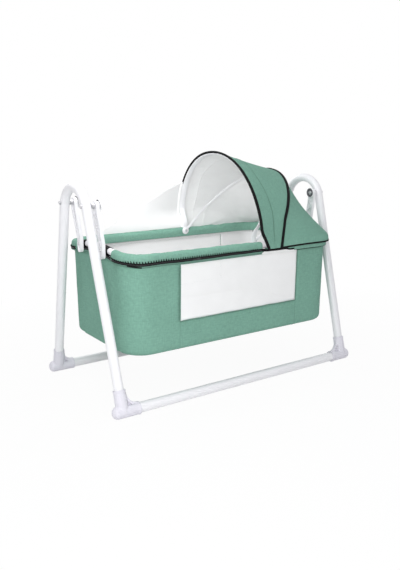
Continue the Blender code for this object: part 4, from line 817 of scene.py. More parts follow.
def pale_floor(name):
    """A pale floor that looks white far from the cradle and keeps the cradle's soft shadow."""
    finish = Finish(name, (0.80, 0.80, 0.80), 0.9)
    across, along, _ = finish.split(finish.on_body())
    distance = across * across * 0.7 + along * along
    far = (distance - 0.3) * 0.55
    far = far.math("SMOOTH_MIN", far, 1.0, 0.05).larger(0.0)
    grain = finish.noise(finish.on_body(), 0.03, 2.0)
    finish.feed("Roughness", 0.85 + grain * 0.1)
    path = finish.node("ShaderNodeLightPath").socket.node
    seen = Reading(finish, path.outputs["Is Camera Ray"])
    seen = seen.larger(Reading(finish, path.outputs["Is Glossy Ray"]))
    seen = seen.larger(Reading(finish, path.outputs["Is Transmission Ray"]))
    glow = {"Color": (1.0, 1.0, 1.0, 1.0), "Strength": 1.0}
    white = finish.node("ShaderNodeEmission", inputs=glow)
    share = seen * (0.95 + far * 0.05)
    diffuse = Reading(finish, finish.shader.outputs[0])
    mixed = finish.node("ShaderNodeMixShader", inputs={0: share, 1: diffuse, 2: white})
    output = finish.tree.nodes["Material Output"]
    finish.tree.links.new(mixed.socket, output.inputs["Surface"])
    return finish


class CRADLE_OT_finishes(bpy.types.Operator):
    """Make the cradle's materials"""

    bl_idname = "cradle.finishes"
    bl_label = "Finishes"

    def execute(self, context):
        colours = context.scene.cradle_colours
        sizes = context.scene.cradle_sizes
        powder_coat("powder_coat", colours.coating)
        moulded("white_moulding", colours.moulding, 0.36)
        moulded("shoe_moulding", colours.shoe, 0.46)
        moulded("black_moulding", (0.022, 0.022, 0.025), 0.42)
        moulded("grey_moulding", (0.105, 0.100, 0.115), 0.40)
        turned_steel("plated_steel")
        woven("canvas", colours.canvas, sizes.weave_pitch)
        # A darker copy of the canvas: painted shade, laid on the window hems, the panel seams, the
        # zip's facing strip under the cuff and the hood's lapped seam.
        woven("canvas_seam", [c * 0.70 for c in colours.canvas], sizes.weave_pitch)
        fleece("lining", colours.lining)
        woven("ticking", colours.lining, 0.0011, low=0.95, high=1.04, on_cloth=False)
        netting("mosquito_net", (0.97, 0.97, 0.97), sizes.net_pitch, sizes.net_thread)
        netting("window_net", (0.97, 0.97, 0.97), sizes.net_pitch, sizes.window_thread)
        webbing("black_webbing", colours.binding, 0.0016)
        webbing("grey_tape", (0.16, 0.16, 0.165), 0.0018)
        moulded("zip_teeth", (0.018, 0.018, 0.020), 0.34)
        pressed_fibres("fibreboard", colours.board)
        pale_floor("pale_floor")
        return {"FINISHED"}


# The stage

CAMERA_TARGET = (0.0, 0.0, 0.3411)
CAMERA_AZIMUTH = -34.8905
CAMERA_ELEVATION = 12.3674
CAMERA_DISTANCE = 2.4594
CAMERA_LENS = 39.996
CAMERA_SENSOR = 36.0
CAMERA_SHIFT = (-0.00554, -0.00727)
FLOOR_STEPS = (-7, -2, 0, 2, 7)


def soft_lamp(name, place, target, size, power):
    lamp = bpy.data.lights.new(name, "AREA")
    lamp.shape = "DISK"
    lamp.size = size
    lamp.energy = power
    obj = placed(name, lamp)
    obj.visible_camera = False
    obj.location = place
    obj.rotation_euler = (Vector(target) - Vector(place)).to_track_quat("-Z", "Y").to_euler()


class CRADLE_OT_stage(bpy.types.Operator):
    """Set up the floor, the soft lights and the camera at the photograph's angle"""

    bl_idname = "cradle.stage"
    bl_label = "Stage"

    def execute(self, context):
        scene = context.scene
        scene.view_settings.view_transform = "Standard"
        azimuth, elevation = radians(CAMERA_AZIMUTH), radians(CAMERA_ELEVATION)
        level = cos(elevation)
        away = Vector((sin(azimuth) * level, -cos(azimuth) * level, sin(elevation)))
        camera = bpy.data.cameras.new("camera")
        camera.lens = CAMERA_LENS
        camera.sensor_width = CAMERA_SENSOR
        camera.shift_x, camera.shift_y = CAMERA_SHIFT
        eye = placed("camera", camera)
        eye.location = Vector(CAMERA_TARGET) + away * CAMERA_DISTANCE
        eye.rotation_euler = (-away).to_track_quat("-Z", "Y").to_euler()
        scene.camera = eye

        bm = bmesh.new()
        skin(bm, [[Vector((x, y, 0.0)) for x in FLOOR_STEPS] for y in FLOOR_STEPS])
        mesh = bpy.data.meshes.new("floor")
        bm.to_mesh(mesh)
        bm.free()
        mesh.materials.append(bpy.data.materials["pale_floor"])
        floor = placed("floor", mesh)

        soft_lamp("key", (-1.2, -1.5, 0.85), (0.0, 0.0, 0.42), 0.8, 14.2)
        soft_lamp("top", (-0.9, -0.7, 2.9), (0.0, 0.0, 0.4), 1.5, 10.0)
        soft_lamp("back", (0.6, 3.0, 1.9), (0.0, 0.0, 0.4), 1.8, 22.0)
        soft_lamp("inside", (-0.38, -0.05, 1.05), (0.16, 0.00, 0.64), 0.5, 2.65)

        world = bpy.data.worlds.new("studio")
        world.use_nodes = True
        scene.world = world
        tree = world.node_tree
        plain = tree.nodes["Background"]
        plain.inputs["Color"].default_value = (0.97, 0.98, 1.0, 1.0)
        plain.inputs["Strength"].default_value = 0.58
        bright = tree.nodes.new("ShaderNodeBackground")
        bright.inputs["Color"].default_value = (1.0, 1.0, 1.0, 1.0)
        path = tree.nodes.new("ShaderNodeLightPath")
        seen = path.outputs["Is Camera Ray"]
        for ray in ("Is Glossy Ray", "Is Transmission Ray"):
            larger = tree.nodes.new("ShaderNodeMath")
            larger.operation = "MAXIMUM"
            tree.links.new(seen, larger.inputs[0])
            tree.links.new(path.outputs[ray], larger.inputs[1])
            seen = larger.outputs[0]
        both = tree.nodes.new("ShaderNodeMixShader")
        for k, socket in enumerate((seen, plain.outputs[0], bright.outputs[0])):
            tree.links.new(socket, both.inputs[k])
        tree.links.new(both.outputs[0], tree.nodes["World Output"].inputs["Surface"])
        return {"FINISHED"}


# The stand


class CRADLE_OT_stand(bpy.types.Operator):
    """Make the two tube arches, the floor rails and the moulded corner shoes"""

    bl_idname = "cradle.stand"
    bl_label = "Stand"

    def execute(self, context):
        sides = context.scene.cradle_sizes.tube_sides
        foot_z = RAIL_Z + LEG_FOOT_LIFT
        bend = arc((0.0, ARCH_CENTRE_Z), ARCH_BEND_RADIUS, LEG_SPLAY, pi - LEG_SPLAY, 40)
        flat = [(leg_y(foot_z), foot_z)] + bend + [(-leg_y(foot_z), foot_z)]
        for side, sign in (("left", -1), ("right", 1)):
            path = [Vector((sign * arch_x(z), y, z)) for y, z in flat]
            name = f"arch_{side}"
            arch = pipe(
                f"arch_tube_{side}", path, LEG_RADIUS, sides, "powder_coat", name, "stand", SIDEWAYS
            )
            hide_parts(name)
        half = FOOT_HALF_LENGTH - RAIL_END_INSET
        for depth, sign in (("front", -1), ("rear", 1)):
            path = [Vector((half * k / 4, sign * FOOT_HALF_WIDTH, RAIL_Z)) for k in range(-4, 5)]
            name = f"rail_{depth}"
            rail = pipe(
                f"rail_tube_{depth}", path, RAIL_RADIUS, sides, "powder_coat", name, "stand"
            )
            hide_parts(name)
        for corner in CORNERS:
            node = f"corner_shoe_{corner}"
            softened(f"shoe_{corner}", node, 0.0011, 10, "shoe_moulding", "stand")
        return {"FINISHED"}


# Profiles of the turned parts: (along the axis, radius), from a face of the part that they meet
BOLT_HEAD = (
    (0.0066, 0.0), (0.0064, 0.0022), (0.0052, 0.0042), (0.0036, 0.0050),
    (0.0034, 0.0065), (0.0, 0.0066), (0.0, 0.004),
)
BOLT_NUT = (
    (-0.0003, 0.004), (-0.0003, 0.0065), (-0.0044, 0.0065), (-0.0062, 0.0050),
    (-0.0066, 0.0030), (-0.0052, 0.0026), (-0.0050, 0.0),
)
SPACER = ((-SPACER_LENGTH, 0.0044), (0.0, 0.0044), (0.0, 0.009), (-SPACER_LENGTH, 0.009))
BEARING = (
    (0.0, 0.0044), (0.007, 0.0044), (0.007, 0.011), (0.0, 0.011),
    (0.0, 0.0095), (0.0006, 0.0092), (0.0006, 0.0066), (0.0, 0.0063),
)
BEARING_CAP = (
    (0.0, 0.0078), (0.0, 0.0195), (-0.0042, 0.0195), (-0.0056, 0.0188),
    (-0.0060, 0.0178), (-0.0060, 0.0160), (-0.0054, 0.0152), (-0.0040, 0.0136),
    (-0.0040, 0.0098), (-0.0048, 0.0092), (-0.0048, 0.0078),
)
CAP_DISH = (0.0082, 0.0172)
PIN_SHANK_RADIUS = 0.003
PIN_HEAD = (
    (0.0035, 0.0), (0.0033, 0.0024), (0.0022, 0.0046), (0.0, 0.0055), (0.0, PIN_SHANK_RADIUS),
)
PIN_NUT = (
    (0.0, PIN_SHANK_RADIUS), (0.0, 0.0055), (-0.0046, 0.0055), (-0.005, 0.0048), (-0.005, 0.0),
)
HUB_SHANK_RADIUS = 0.0028
HUB_HEAD = (
    (0.0024, 0.0), (0.0023, 0.0016), (0.0016, 0.0040),
    (0.0006, 0.0054), (0.0, 0.0055), (0.0, HUB_SHANK_RADIUS),
)
SHOULDER_RADIUS = 0.0085
TAB_GROMMET = (
    (0.0131, 0.0088), (0.0131, 0.0118), (0.0137, 0.0121), (0.0141, 0.0112), (0.0140, 0.0090),
)


def set_off(start, profile):
    """A profile moved along its axis, so that it starts at a face."""
    return [(start + along, radius) for along, radius in profile]


def pin_shoulder(first, last, shank):
    """The wider part of a pin, which keeps what turns on it away from the tube."""
    return [(first, shank), (first, SHOULDER_RADIUS), (last, SHOULDER_RADIUS), (last, shank)]


class CRADLE_OT_pivots(bpy.types.Operator):
    """Make the bolts, spacers, bearings and caps at the tops of the arms, and the lower pins"""

    bl_idname = "cradle.pivots"
    bl_label = "Pivots"

    def execute(self, context):
        leg = LEG_RADIUS + SOLID_GAP
        inner_end = ARM_INNER_X - PIVOT_X
        bolt = set_off(leg, BOLT_HEAD) + set_off(inner_end, BOLT_NUT)
        spacer = set_off(-leg, SPACER)
        bearing = set_off(inner_end + SOLID_GAP, BEARING)
        cap = set_off(inner_end - SOLID_GAP, BEARING_CAP)
        arm_inner = ARM_FOOT_INNER_X - RIM_HALF_LENGTH
        arm_outer = arm_inner + ARM_THICKNESS + SOLID_GAP
        tube_face = RIM_RADIUS + SOLID_GAP
        pin = set_off(arm_outer, PIN_HEAD)
        pin += pin_shoulder(arm_inner - SOLID_GAP, tube_face, PIN_SHANK_RADIUS)
        pin += set_off(-tube_face, PIN_NUT)
        for corner, (sign_x, sign_y) in CORNERS.items():
            top = (sign_x * PIVOT_X, sign_y * PIVOT_Y, PIVOT_Z)
            low = (sign_x * RIM_HALF_LENGTH, sign_y * PIVOT_Y, LOWER_PIN_Z)
            hanger = f"hanger_{corner}"
            rows = (
                ("pivot_bolt", bolt, top, "plated_steel", "stand"),
                ("spacer", spacer, top, "plated_steel", "stand"),
                ("bearing", bearing, top, "plated_steel", hanger),
                ("bearing_cap", cap, top, ("white_moulding", "grey_moulding"), hanger),
                ("lower_pin", pin, low, "plated_steel", "bassinet"),
            )
            for kind, profile, place, finish, body in rows:
                bm = bmesh.new()
                turned(bm, profile, place, (sign_x, 0.0, 0.0), 40)
                if kind == "bearing_cap":
                    for face in bm.faces:
                        spot = face.calc_center_median() - Vector(place)
                        reach = hypot(spot.y, spot.z)
                        face.material_index = int(CAP_DISH[0] < reach < CAP_DISH[1])
                obj = piece(f"turned_{kind}_{corner}", bm, finish, body)
                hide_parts(f"{kind}_{corner}")
        return {"FINISHED"}


class CRADLE_OT_hangers(bpy.types.Operator):
    """Finish the four ribbed hanger arms"""

    bl_idname = "cradle.hangers"
    bl_label = "Hanger arms"

    def execute(self, context):
        for corner in CORNERS:
            refinish(f"hanger_arm_{corner}", "white_moulding", 0.00045)
        return {"FINISHED"}


# The rim, its cuffs and its tabs


class CRADLE_OT_rim(bpy.types.Operator):
    """Make the rim tube and the webbing tabs that carry the basket"""

    bl_idname = "cradle.rim"
    bl_label = "Rim and tabs"

    def execute(self, context):
        sides = context.scene.cradle_sizes.tube_sides
        ring = rim_ring()
        rim = pipe(
            "rim_tube", ring, RIM_RADIUS, sides, "powder_coat", "rim_frame", "bassinet", cyclic=True
        )
        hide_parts("rim_frame")
        for corner, (sign_x, sign_y) in CORNERS.items():
            tab = hanging_tab(corner, sign_x, sign_y)
            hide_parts(f"hanging_tab_{corner}")
            bm = bmesh.new()
            place = (sign_x * RIM_HALF_LENGTH, sign_y * PIVOT_Y, LOWER_PIN_Z)
            turned(bm, TAB_GROMMET, place, (sign_x, 0.0, 0.0), 32)
            piece(f"tab_grommet_{corner}", bm, "plated_steel", "bassinet")
        return {"FINISHED"}


def hanging_tab(corner, sign_x, sign_y):
    """A strip of webbing looped over the rim, with its two ends sewn together on the basket."""
    radius = RIM_RADIUS + 0.0014 + 0.0006
    wall = BASKET_OFFSET - BASKET_FABRIC / 2
    low = BASKET_TOP_Z - LOWER_PIN_Z - 0.012
    loop = [(wall + 0.0013, low), (wall + 0.0013, low / 2 - 0.010)]
    loop += arc((0.0, 0.0), radius, radians(-58), radians(244), 26)
    loop += [(wall - 0.0013, low / 2 - 0.012), (wall - 0.0013, low)]
    rows = []
    for k in range(9):
        y = mix(-TAB_WIDTH / 2, TAB_WIDTH / 2, k / 8)
        lift = rim_z(PIVOT_Y + y * sign_y) - LOWER_PIN_Z
        side = sign_y * PIVOT_Y + y
        row = [(sign_x * (RIM_HALF_LENGTH + x), side, LOWER_PIN_Z + z + lift) for x, z in loop]
        rows.append([Vector(place) for place in row])
    bm = bmesh.new()
    skin(bm, rows)
    bmesh.ops.recalc_face_normals(bm, faces=bm.faces)
    point_outward(bm, (sign_x * RIM_HALF_LENGTH, sign_y * PIVOT_Y, LOWER_PIN_Z))
    name = f"webbing_tab_{corner}"
    obj = piece(name, bm, "black_webbing", closed=False, sharp=60)
    thickened(obj, 0.0012)
    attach(obj, "bassinet")
    return obj


def cuff_section(place, travelled, ends, wrinkle):
    """The cuff's hooked section round the tube, puffed and puckered; its outside is on the left."""
    hollow = RIM_RADIUS + SOLID_GAP
    face = RIM_RADIUS + SOLID_GAP + CUFF_PADDING
    outer = [(-face + 0.0045, -CUFF_DROP_OUTSIDE), (-face + 0.0022, -CUFF_DROP_OUTSIDE + 0.0004)]
    outer += [(-face - 0.0003, -CUFF_DROP_OUTSIDE * share) for share in (0.82, 0.6, 0.4, 0.2)]
    outer += [(-x, z) for x, z in arc((0.0, 0.0), face, 0.0, pi, 20)]
    down = enumerate((0.25, 0.5, 0.75, 0.95))
    outer += [(face - 0.0006 * k, -CUFF_DROP_INSIDE * share) for k, share in down]
    inner = [(hollow - 0.0026, -CUFF_DROP_INSIDE), (hollow - 0.0008, -CUFF_DROP_INSIDE * 0.5)]
    inner += [(-x, z) for x, z in arc((0.0, 0.0), hollow, pi, 0.0, 14)]
    inner.append((-hollow + 0.0008, -CUFF_DROP_OUTSIDE * 0.5))
    inner.append((-hollow + 0.0040, -CUFF_DROP_OUTSIDE + 0.0010))
    close = smooth(min(travelled, ends - travelled) / 0.010)
    gathered = 0.9 * smooth(place.x / 0.08)
    if place.y <= 0:
        gathered *= smooth((0.10 - place.x) / 0.02)
    section = []
    last = len(outer) - 1
    for k, (x, z) in enumerate(outer):
        share = k / last
        seam = smooth(min(share, 1 - share) / 0.16)
        folds = ripple((travelled, share * 0.012, 0.0), 0.011, 3.1) * 0.55
        folds += ripple((travelled + share * 0.02, share * 0.05, 0.0), 0.034, 7.7) * 0.9
        folds *= 1 + gathered
        swell = wrinkle * (folds * seam + 0.25 * seam) * mix(0.3, 1.0, close)
        swell -= 0.0016 * (1 - close) * seam
        reach = hypot(x, z + 0.004)
        section.append((x * (1 + swell / reach), z + (z + 0.004) * swell / reach))
    return section + inner


class CRADLE_OT_cuffs(bpy.types.Operator):
    """Sew the padded cuffs round the rim; the near one stops short at the hood's hub"""

    bl_idname = "cradle.cuffs"
    bl_label = "Padded cuffs"

    def execute(self, context):
        wrinkle = context.scene.cradle_sizes.wrinkle

        def wrapped(sign_x, sign_y):
            dense = rim_quarter(sign_x, sign_y, corner_steps=22, end_steps=24, side_steps=50)
            return [p for p in dense if abs(p.y) > CUFF_END_Y]

        far = wrapped(-1, 1)[::-1] + wrapped(1, 1)[1:]
        near_left = [Vector((CUFF_NEAR_STOP_X, -RIM_HALF_WIDTH, RIM_Z))]
        near_left += [p for p in wrapped(-1, -1) if p.x < CUFF_NEAR_STOP_X - 0.005]
        between_x = [mix(CUFF_NEAR_STOP_X, 0.0, k / 10) for k in range(1, 10)]
        near_left[1:1] = [Vector((x, -RIM_HALF_WIDTH, RIM_Z)) for x in between_x]
        near_right = [p for p in wrapped(1, -1)[::-1] if p.x > CUFF_NEAR_START_X + 0.005]
        near_right.append(Vector((CUFF_NEAR_START_X, -RIM_HALF_WIDTH, RIM_Z)))
        for name, path in (
            ("cuff_far", far),
            ("cuff_near_left", near_left),
            ("cuff_near_right", near_right),
        ):
            path = resampled(path, max(int(line_length(path) / 0.0065), 8))
            travelled = distances(path)

            def section(i):
                return cuff_section(path[i], travelled[i], travelled[-1], wrinkle)

            obj = band(f"padded_{name}", path, section, UPRIGHT, "canvas", name, "bassinet", 70)
            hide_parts(name)
        return {"FINISHED"}


# The basket


def basket_ring(inset, z, depth):
    """The basket's outline at a height: the same row of stations at every height."""
    length = RIM_HALF_LENGTH + BASKET_OFFSET - BASKET_TAPER_LENGTH * depth - inset
    width = RIM_HALF_WIDTH + BASKET_OFFSET - BASKET_TAPER_WIDTH * depth - inset
    corner = max(RIM_CORNER_RADIUS + BASKET_OFFSET - inset, RIM_RADIUS)
    long_side = [WINDOW_HALF_LENGTH + BASKET_SIDE_REACH * k / 5 for k in range(5, 0, -1)]
    long_side += [WINDOW_HALF_LENGTH * k / 20 for k in range(20, -21, -1)]
    long_side += [-WINDOW_HALF_LENGTH - BASKET_SIDE_REACH * k / 5 for k in range(1, 6)]
    short_side = [(width - corner) * k / 10 for k in range(9, -10, -1)]
    points = []
    starts = ((1, 1, 0.0), (-1, 1, pi / 2), (-1, -1, pi), (1, -1, 3 * pi / 2))
    for sign_x, sign_y, start in starts:
        middle = (sign_x * (length - corner), sign_y * (width - corner))
        points += arc(middle, corner, start, start + pi / 2, 12)
        if sign_x == sign_y:
            points += [(sign_y * x, sign_y * width) for x in long_side]
        else:
            points += [(sign_x * length, -sign_x * y) for y in short_side[::-1]]
    return [Vector((x, y, z)) for x, y in points]


def wall_depth(z):
    return (BASKET_TOP_Z - z) / (BASKET_TOP_Z - BASKET_BOTTOM_Z)


def tub_rows(inset, levels):
    """Rows of a tub from its floor, round its bottom edge and up its wall."""
    edge = BASKET_EDGE_RADIUS - inset
    floor = BASKET_BOTTOM_Z + inset
    rows = []
    for turn in range(0, 91, 15):
        angle = radians(turn)
        z = floor + edge * (1 - cos(angle))
        rows.append(basket_ring(inset + edge * (1 - sin(angle)), z, wall_depth(z)))
    rows += [basket_ring(inset, z, wall_depth(z)) for z in levels]
    for point in rows[-1]:
        point.z += rim_z(point.y) - RIM_Z
    return rows


def wall_levels():
    """Heights of the wall's rows, which meet the windows' sills and heads."""
    levels = [mix(BASKET_BOTTOM_Z + BASKET_EDGE_RADIUS, WINDOW_SILL_Z, k / 8) for k in range(1, 9)]
    levels += [mix(WINDOW_SILL_Z, WINDOW_HEAD_Z, k / 18) for k in range(1, 19)]
    return levels + [BASKET_TOP_Z]


def in_window(face):
    centre = face.calc_center_median()
    return (
        abs(centre.x) < WINDOW_HALF_LENGTH
        and WINDOW_SILL_Z < centre.z < WINDOW_HEAD_Z
        and abs(centre.y) > RIM_HALF_WIDTH / 2
    )


def wall_wrinkle(place, depth):
    """How far the wall stands out at a place: slack cloth, pulled tight along its edges."""
    free = smooth((BASKET_TOP_Z - place.z) / 0.05) * smooth((place.z - BASKET_BOTTOM_Z) / 0.06)
    window = smooth((abs(place.x) - WINDOW_HALF_LENGTH) / 0.03)
    if abs(place.y) < 0.2 or place.z < WINDOW_SILL_Z:
        window = max(window, smooth((WINDOW_SILL_Z - place.z) / 0.03))
    slack = ripple((place.x, place.y, place.z * 0.55), 0.075, 2.4)
    slanted = (place.x + place.z * 0.8, place.y - place.z * 0.8, place.z * 0.3)
    slack += 0.5 * ripple(slanted, 0.030, 5.2)
    pull = 0.0
    if place.x > WINDOW_HALF_LENGTH and abs(place.y) > 0.1:
        diagonal = place.z - 0.43 + (place.x - 0.30) * 1.1
        near_top = smooth((place.z - 0.36) / 0.07)
        pull = 0.9 * sin(diagonal / 0.014) * near_top * exp(-((diagonal / 0.05) ** 2))
    return depth * (slack * 0.75 + pull) * free * max(window, 0.25)


class CRADLE_OT_basket(bpy.types.Operator):
    """Sew the green basket and its white lining, both open at the windows"""

    bl_idname = "cradle.basket"
    bl_label = "Basket and lining"

    def execute(self, context):
        sizes = context.scene.cradle_sizes
        fold = sizes.wrinkle
        for name, node, finish, inset, thickness, depth in (
            ("basket_canvas", "basket_shell", "canvas", 0.0, sizes.canvas_thickness, fold),
            ("basket_inside", "basket_lining", "lining", LINING_INSET, LINING_FABRIC, fold * 0.6),
        ):
            bm = bmesh.new()
            rows = tub_rows(inset, wall_levels() + ([LINING_TOP_Z] if inset else []))
            grid = skin(bm, rows, wrap_columns=True)
            bm.faces.new(reversed(grid[0]))
            bm.normal_update()
            point_outward(bm, CRADLE_MIDDLE)
            for vertex in bm.verts:
                flat = Vector((vertex.normal.x, vertex.normal.y, 0.0))
                vertex.co += flat * wall_wrinkle(vertex.co, depth)
            open_faces = [face for face in bm.faces if in_window(face)]
            bmesh.ops.delete(bm, geom=open_faces, context="FACES")
            obj = piece(name, bm, finish, closed=False, sharp=60)
            thickened(obj, thickness)
            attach(obj, "bassinet")
            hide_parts(node)
        window_trim()
        corner_tape()
        return {"FINISHED"}


def wall_y(z, sign):
    return sign * (RIM_HALF_WIDTH + BASKET_OFFSET - BASKET_TAPER_WIDTH * wall_depth(z))


def window_trim():
    """The hem round each window, and the two seams from its sill to the basket's bottom."""
    for depth, sign in (("near", -1), ("far", 1)):
        half, low, high = WINDOW_HALF_LENGTH, WINDOW_SILL_Z, WINDOW_HEAD_Z + 0.001
        corners = []
        for k in range(41):
            x = mix(-half, half, k / 40)
            corners.append((x, low + 0.0016 * ripple((x, 0.0, 0.0), 0.06, 4.4)))
        corners += [(half, mix(low, high, k / 14)) for k in range(1, 15)]
        corners += [(mix(half, -half, k / 40), high) for k in range(1, 41)]
        corners += [(-half, mix(high, low, k / 14)) for k in range(1, 14)]
        path = [Vector((x, wall_y(z, sign) + sign * 0.0002, z)) for x, z in corners]
        section = [(0.0024, -0.0007), (0.0026, 0.0), (0.0024, 0.0007)]
        section += [(-x, -z) for x, z in section]
        ups = [Vector((0.0, sign, 0.0))] * len(path)
        name = f"window_hem_{depth}"
        # The window hem takes the darker canvas copy: painted shade along the hem.
        band(name, path, section, ups, "canvas_seam", "basket_shell", "bassinet", cyclic=True)
        edge = BASKET_EDGE_RADIUS
        for side, x in (("left", -half), ("right", half)):
            heights = (low, 0.25, 0.225, BASKET_BOTTOM_Z + edge)
            path = [Vector((x, wall_y(z, sign), z)) for z in heights]
            for turn in range(75, -1, -15):
                angle = radians(turn)
                z = BASKET_BOTTOM_Z + edge * (1 - cos(angle))
                path.append(Vector((x, wall_y(z, sign) - sign * edge * (1 - sin(angle)), z)))
            name, path = f"panel_seam_{depth}_{side}", bent(path, 3)
            # The panel seams take the darker canvas copy: painted shade along each seam.
            pipe(name, path, 0.0007, 8, "canvas_seam", "basket_shell", "bassinet", SIDEWAYS)


def corner_tape():
    """The narrow tape sewn down the lining's far right corner, which ends in a wider tag."""
    turn = radians(45)
    reach = RIM_CORNER_RADIUS + BASKET_OFFSET - BASKET_FABRIC - 0.0022
    outward = Vector((cos(turn), sin(turn), 0.0))
    middle = Vector((RIM_HALF_LENGTH - RIM_CORNER_RADIUS, RIM_HALF_WIDTH - RIM_CORNER_RADIUS, 0.0))
    path, widths = [], []
    for k in range(25):
        z = mix(0.484, 0.300, k / 24)
        path.append(middle + outward * (reach - 0.0020 * wall_depth(z)) + Vector((0.0, 0.0, z)))
        widths.append(mix(0.0030, 0.0062, smooth((0.37 - z) / 0.02)))

    def section(i):
        return flat_section(widths[i], 0.0010)

    ups = [outward] * len(path)
    band("corner_seam_tape", path, section, ups, "grey_tape", "basket_lining", "bassinet")


class CRADLE_OT_windows(bpy.types.Operator):
    """Stretch the fine mesh over both windows"""

    bl_idname = "cradle.windows"
    bl_label = "Window meshes"

    def execute(self, context):
        for depth, sign in (("near", -1), ("far", 1)):
            rows = []
            for i in range(15):
                z = mix(WINDOW_SILL_Z - 0.004, WINDOW_HEAD_Z + 0.003, i / 14)
                row = []
                for j in range(49):
                    x = mix(-WINDOW_HALF_LENGTH - 0.004, WINDOW_HALF_LENGTH + 0.004, j / 48)
                    give = sin(pi * i / 14) * sin(pi * j / 48)
                    wave = ripple((x, 0.0, z * 0.6), 0.09, 6.0 + sign) * 0.0016 * give
                    inward = 0.0014 + 0.0010 * give + wave
                    row.append(Vector((x, wall_y(z, sign) - sign * inward, z)))
                rows.append(row)
            bm = bmesh.new()
            skin(bm, rows)
            point_outward(bm, CRADLE_MIDDLE)
            node = f"window_mesh_{depth}"
            obj = piece(f"window_net_{depth}", bm, "window_net", closed=False)
            thickened(obj, 0.0005)
            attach(obj, "bassinet")
            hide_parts(node)
        return {"FINISHED"}


def zip_line():
    """The zip's way round the basket: (place, outward direction, half height, offset) at each step.

    It follows the rim, thins out between the near cuffs and dips under the hood's hem.
    """
    ring = rim_ring(side_steps=70, end_steps=26, corner_steps=20)
    line = []
    for i, p in enumerate(ring):
        travel = ring[(i + 1) % len(ring)] - ring[i - 1]
        outward = Vector((-travel.y, travel.x, 0.0)).normalized()
        gap = smooth((p.x - CUFF_NEAR_STOP_X) / ZIP_GAP_BLEND)
        under_hood = smooth((p.x - ZIP_HOOD_START_X) / ZIP_HOOD_BLEND)
        open_end = smooth((0.152 - abs(p.y)) / 0.02) if abs(p.x) > RIM_HALF_LENGTH - 0.04 else 0.0
        middle = mix(mix(ZIP_MIDDLE_Z, ZIP_MIDDLE_Z - ZIP_GAP_DROP, gap), ZIP_HOOD_Z, under_hood)
        middle -= 0.0022 * open_end * (1 - under_hood)
        middle -= 0.0032 * exp(-(((p.x + 0.405) / 0.030) ** 2)) * smooth(-p.y / 0.2)
        middle -= 0.0013 * smooth((p.x + 0.33) / 0.06) * smooth((-0.08 - p.x) / 0.08)
        middle += rim_z(p.y) - RIM_Z + 0.0007 * ripple((p.x, p.y, 0.0), 0.06, 3.7)
        half = mix(ZIP_HALF_HEIGHT, ZIP_GAP_HALF_HEIGHT, gap)
        half = mix(half, ZIP_HOOD_HALF_HEIGHT, under_hood)
        offset = mix(mix(ZIP_FACE_OFFSET, ZIP_GAP_OFFSET, gap), ZIP_HOOD_OFFSET, under_hood)
        offset = mix(offset, 0.0120, open_end)
        line.append((Vector((p.x, p.y, middle)), outward, half, offset))
    return line


def ribbon(name, line, section, finish, cyclic=False):
    """A band round the basket, drawn from (offset, height) points that a function gives."""
    rows = []
    for place, outward, half, offset in line:
        rows.append([place + outward * o + Vector((0.0, 0.0, h)) for o, h in section(half, offset)])
    bm = bmesh.new()
    grid = skin(bm, rows, wrap_rows=cyclic, wrap_columns=True)
    if not cyclic:
        bm.faces.new(grid[0])
        bm.faces.new(reversed(grid[-1]))
    return piece(name, bm, finish, "bassinet", sharp=60)


def zip_section(half, offset):
    thin = ZIP_TAPE_THICKNESS
    outer = [(offset, half), (offset + 0.0003, 0.0), (offset, -half * 0.85)]
    outer.append((offset - 0.003, -half - 0.0012))
    inner = [(0.0055, -half - 0.0050), (0.0047, -half - 0.0044), (offset - 0.004, -half + 0.0002)]
    inner += [(offset - thin, -half * 0.7), (offset + 0.0003 - thin, 0.0), (offset - thin, half)]
    return outer + inner


def facing_section(half, offset):
    """The canvas strip that hangs below the zip, in front of its tape."""
    top = -half + 0.0018
    outer = [(offset - 0.0002, top), (offset + 0.0002, -half - 0.0008)]
    outer += [(offset - 0.0034, -half - 0.0036), (0.0072, -half - 0.0060), (0.0052, -half - 0.0078)]
    inner = [(0.0042, -half - 0.0076), (0.0062, -half - 0.0050), (offset - 0.0046, -half - 0.0028)]
    return outer + inner + [(offset - 0.0010, -half - 0.0008), (offset - 0.0012, top)]


def cover_section(half, offset):
    """The canvas strip that hides the zip under the hood's hem."""
    outer = [(offset + 0.0006, half + 0.0030), (offset + 0.0012, 0.0)]
    outer.append((offset + 0.0004, -half - 0.0010))
    return outer + [(o - 0.0008, h) for o, h in outer[::-1]]


# A thin black strip along the cover's lower edge: a painted shadow line under the hood's hem.
def cover_shadow_section(half, offset):
    outer = [(offset + 0.0008, -half - 0.0006), (offset + 0.0006, -half - 0.0018)]
    return outer + [(o - 0.0016, h) for o, h in outer[::-1]]


TEETH_END_X = 0.075
TOOTH = ((-0.0002, 0.0009), (-0.0012, 0.0012), (-0.0016, 0.0022))
STITCH_END_X = 0.060
STITCH_ARM_X = -0.40
STITCH_TALL = 0.0068
STITCH_SHORT = 0.0030
STITCH_ROOT = 0.0014
STITCH_SHARES = (0.0, 0.35, 0.7, 1.0)
STITCH_RADII = (0.0023, 0.0020, 0.0015, 0.0007)


def upright_box(bm, place, outward, run, away, along, up):
    """A small block on the zip: spans of (near, far) outward, along the zip and upward."""
    corners = [
        bm.verts.new(place + outward * a + run * b + Vector((0.0, 0.0, c)))
        for a in away
        for c in up
        for b in along
    ]
    a, b, c, d, e, f, g, h = corners
    sides = ((a, b, d, c), (e, g, h, f), (a, e, f, b), (c, d, h, g), (a, c, g, e), (b, f, h, d))
    for side in sides:
        bm.faces.new(side)


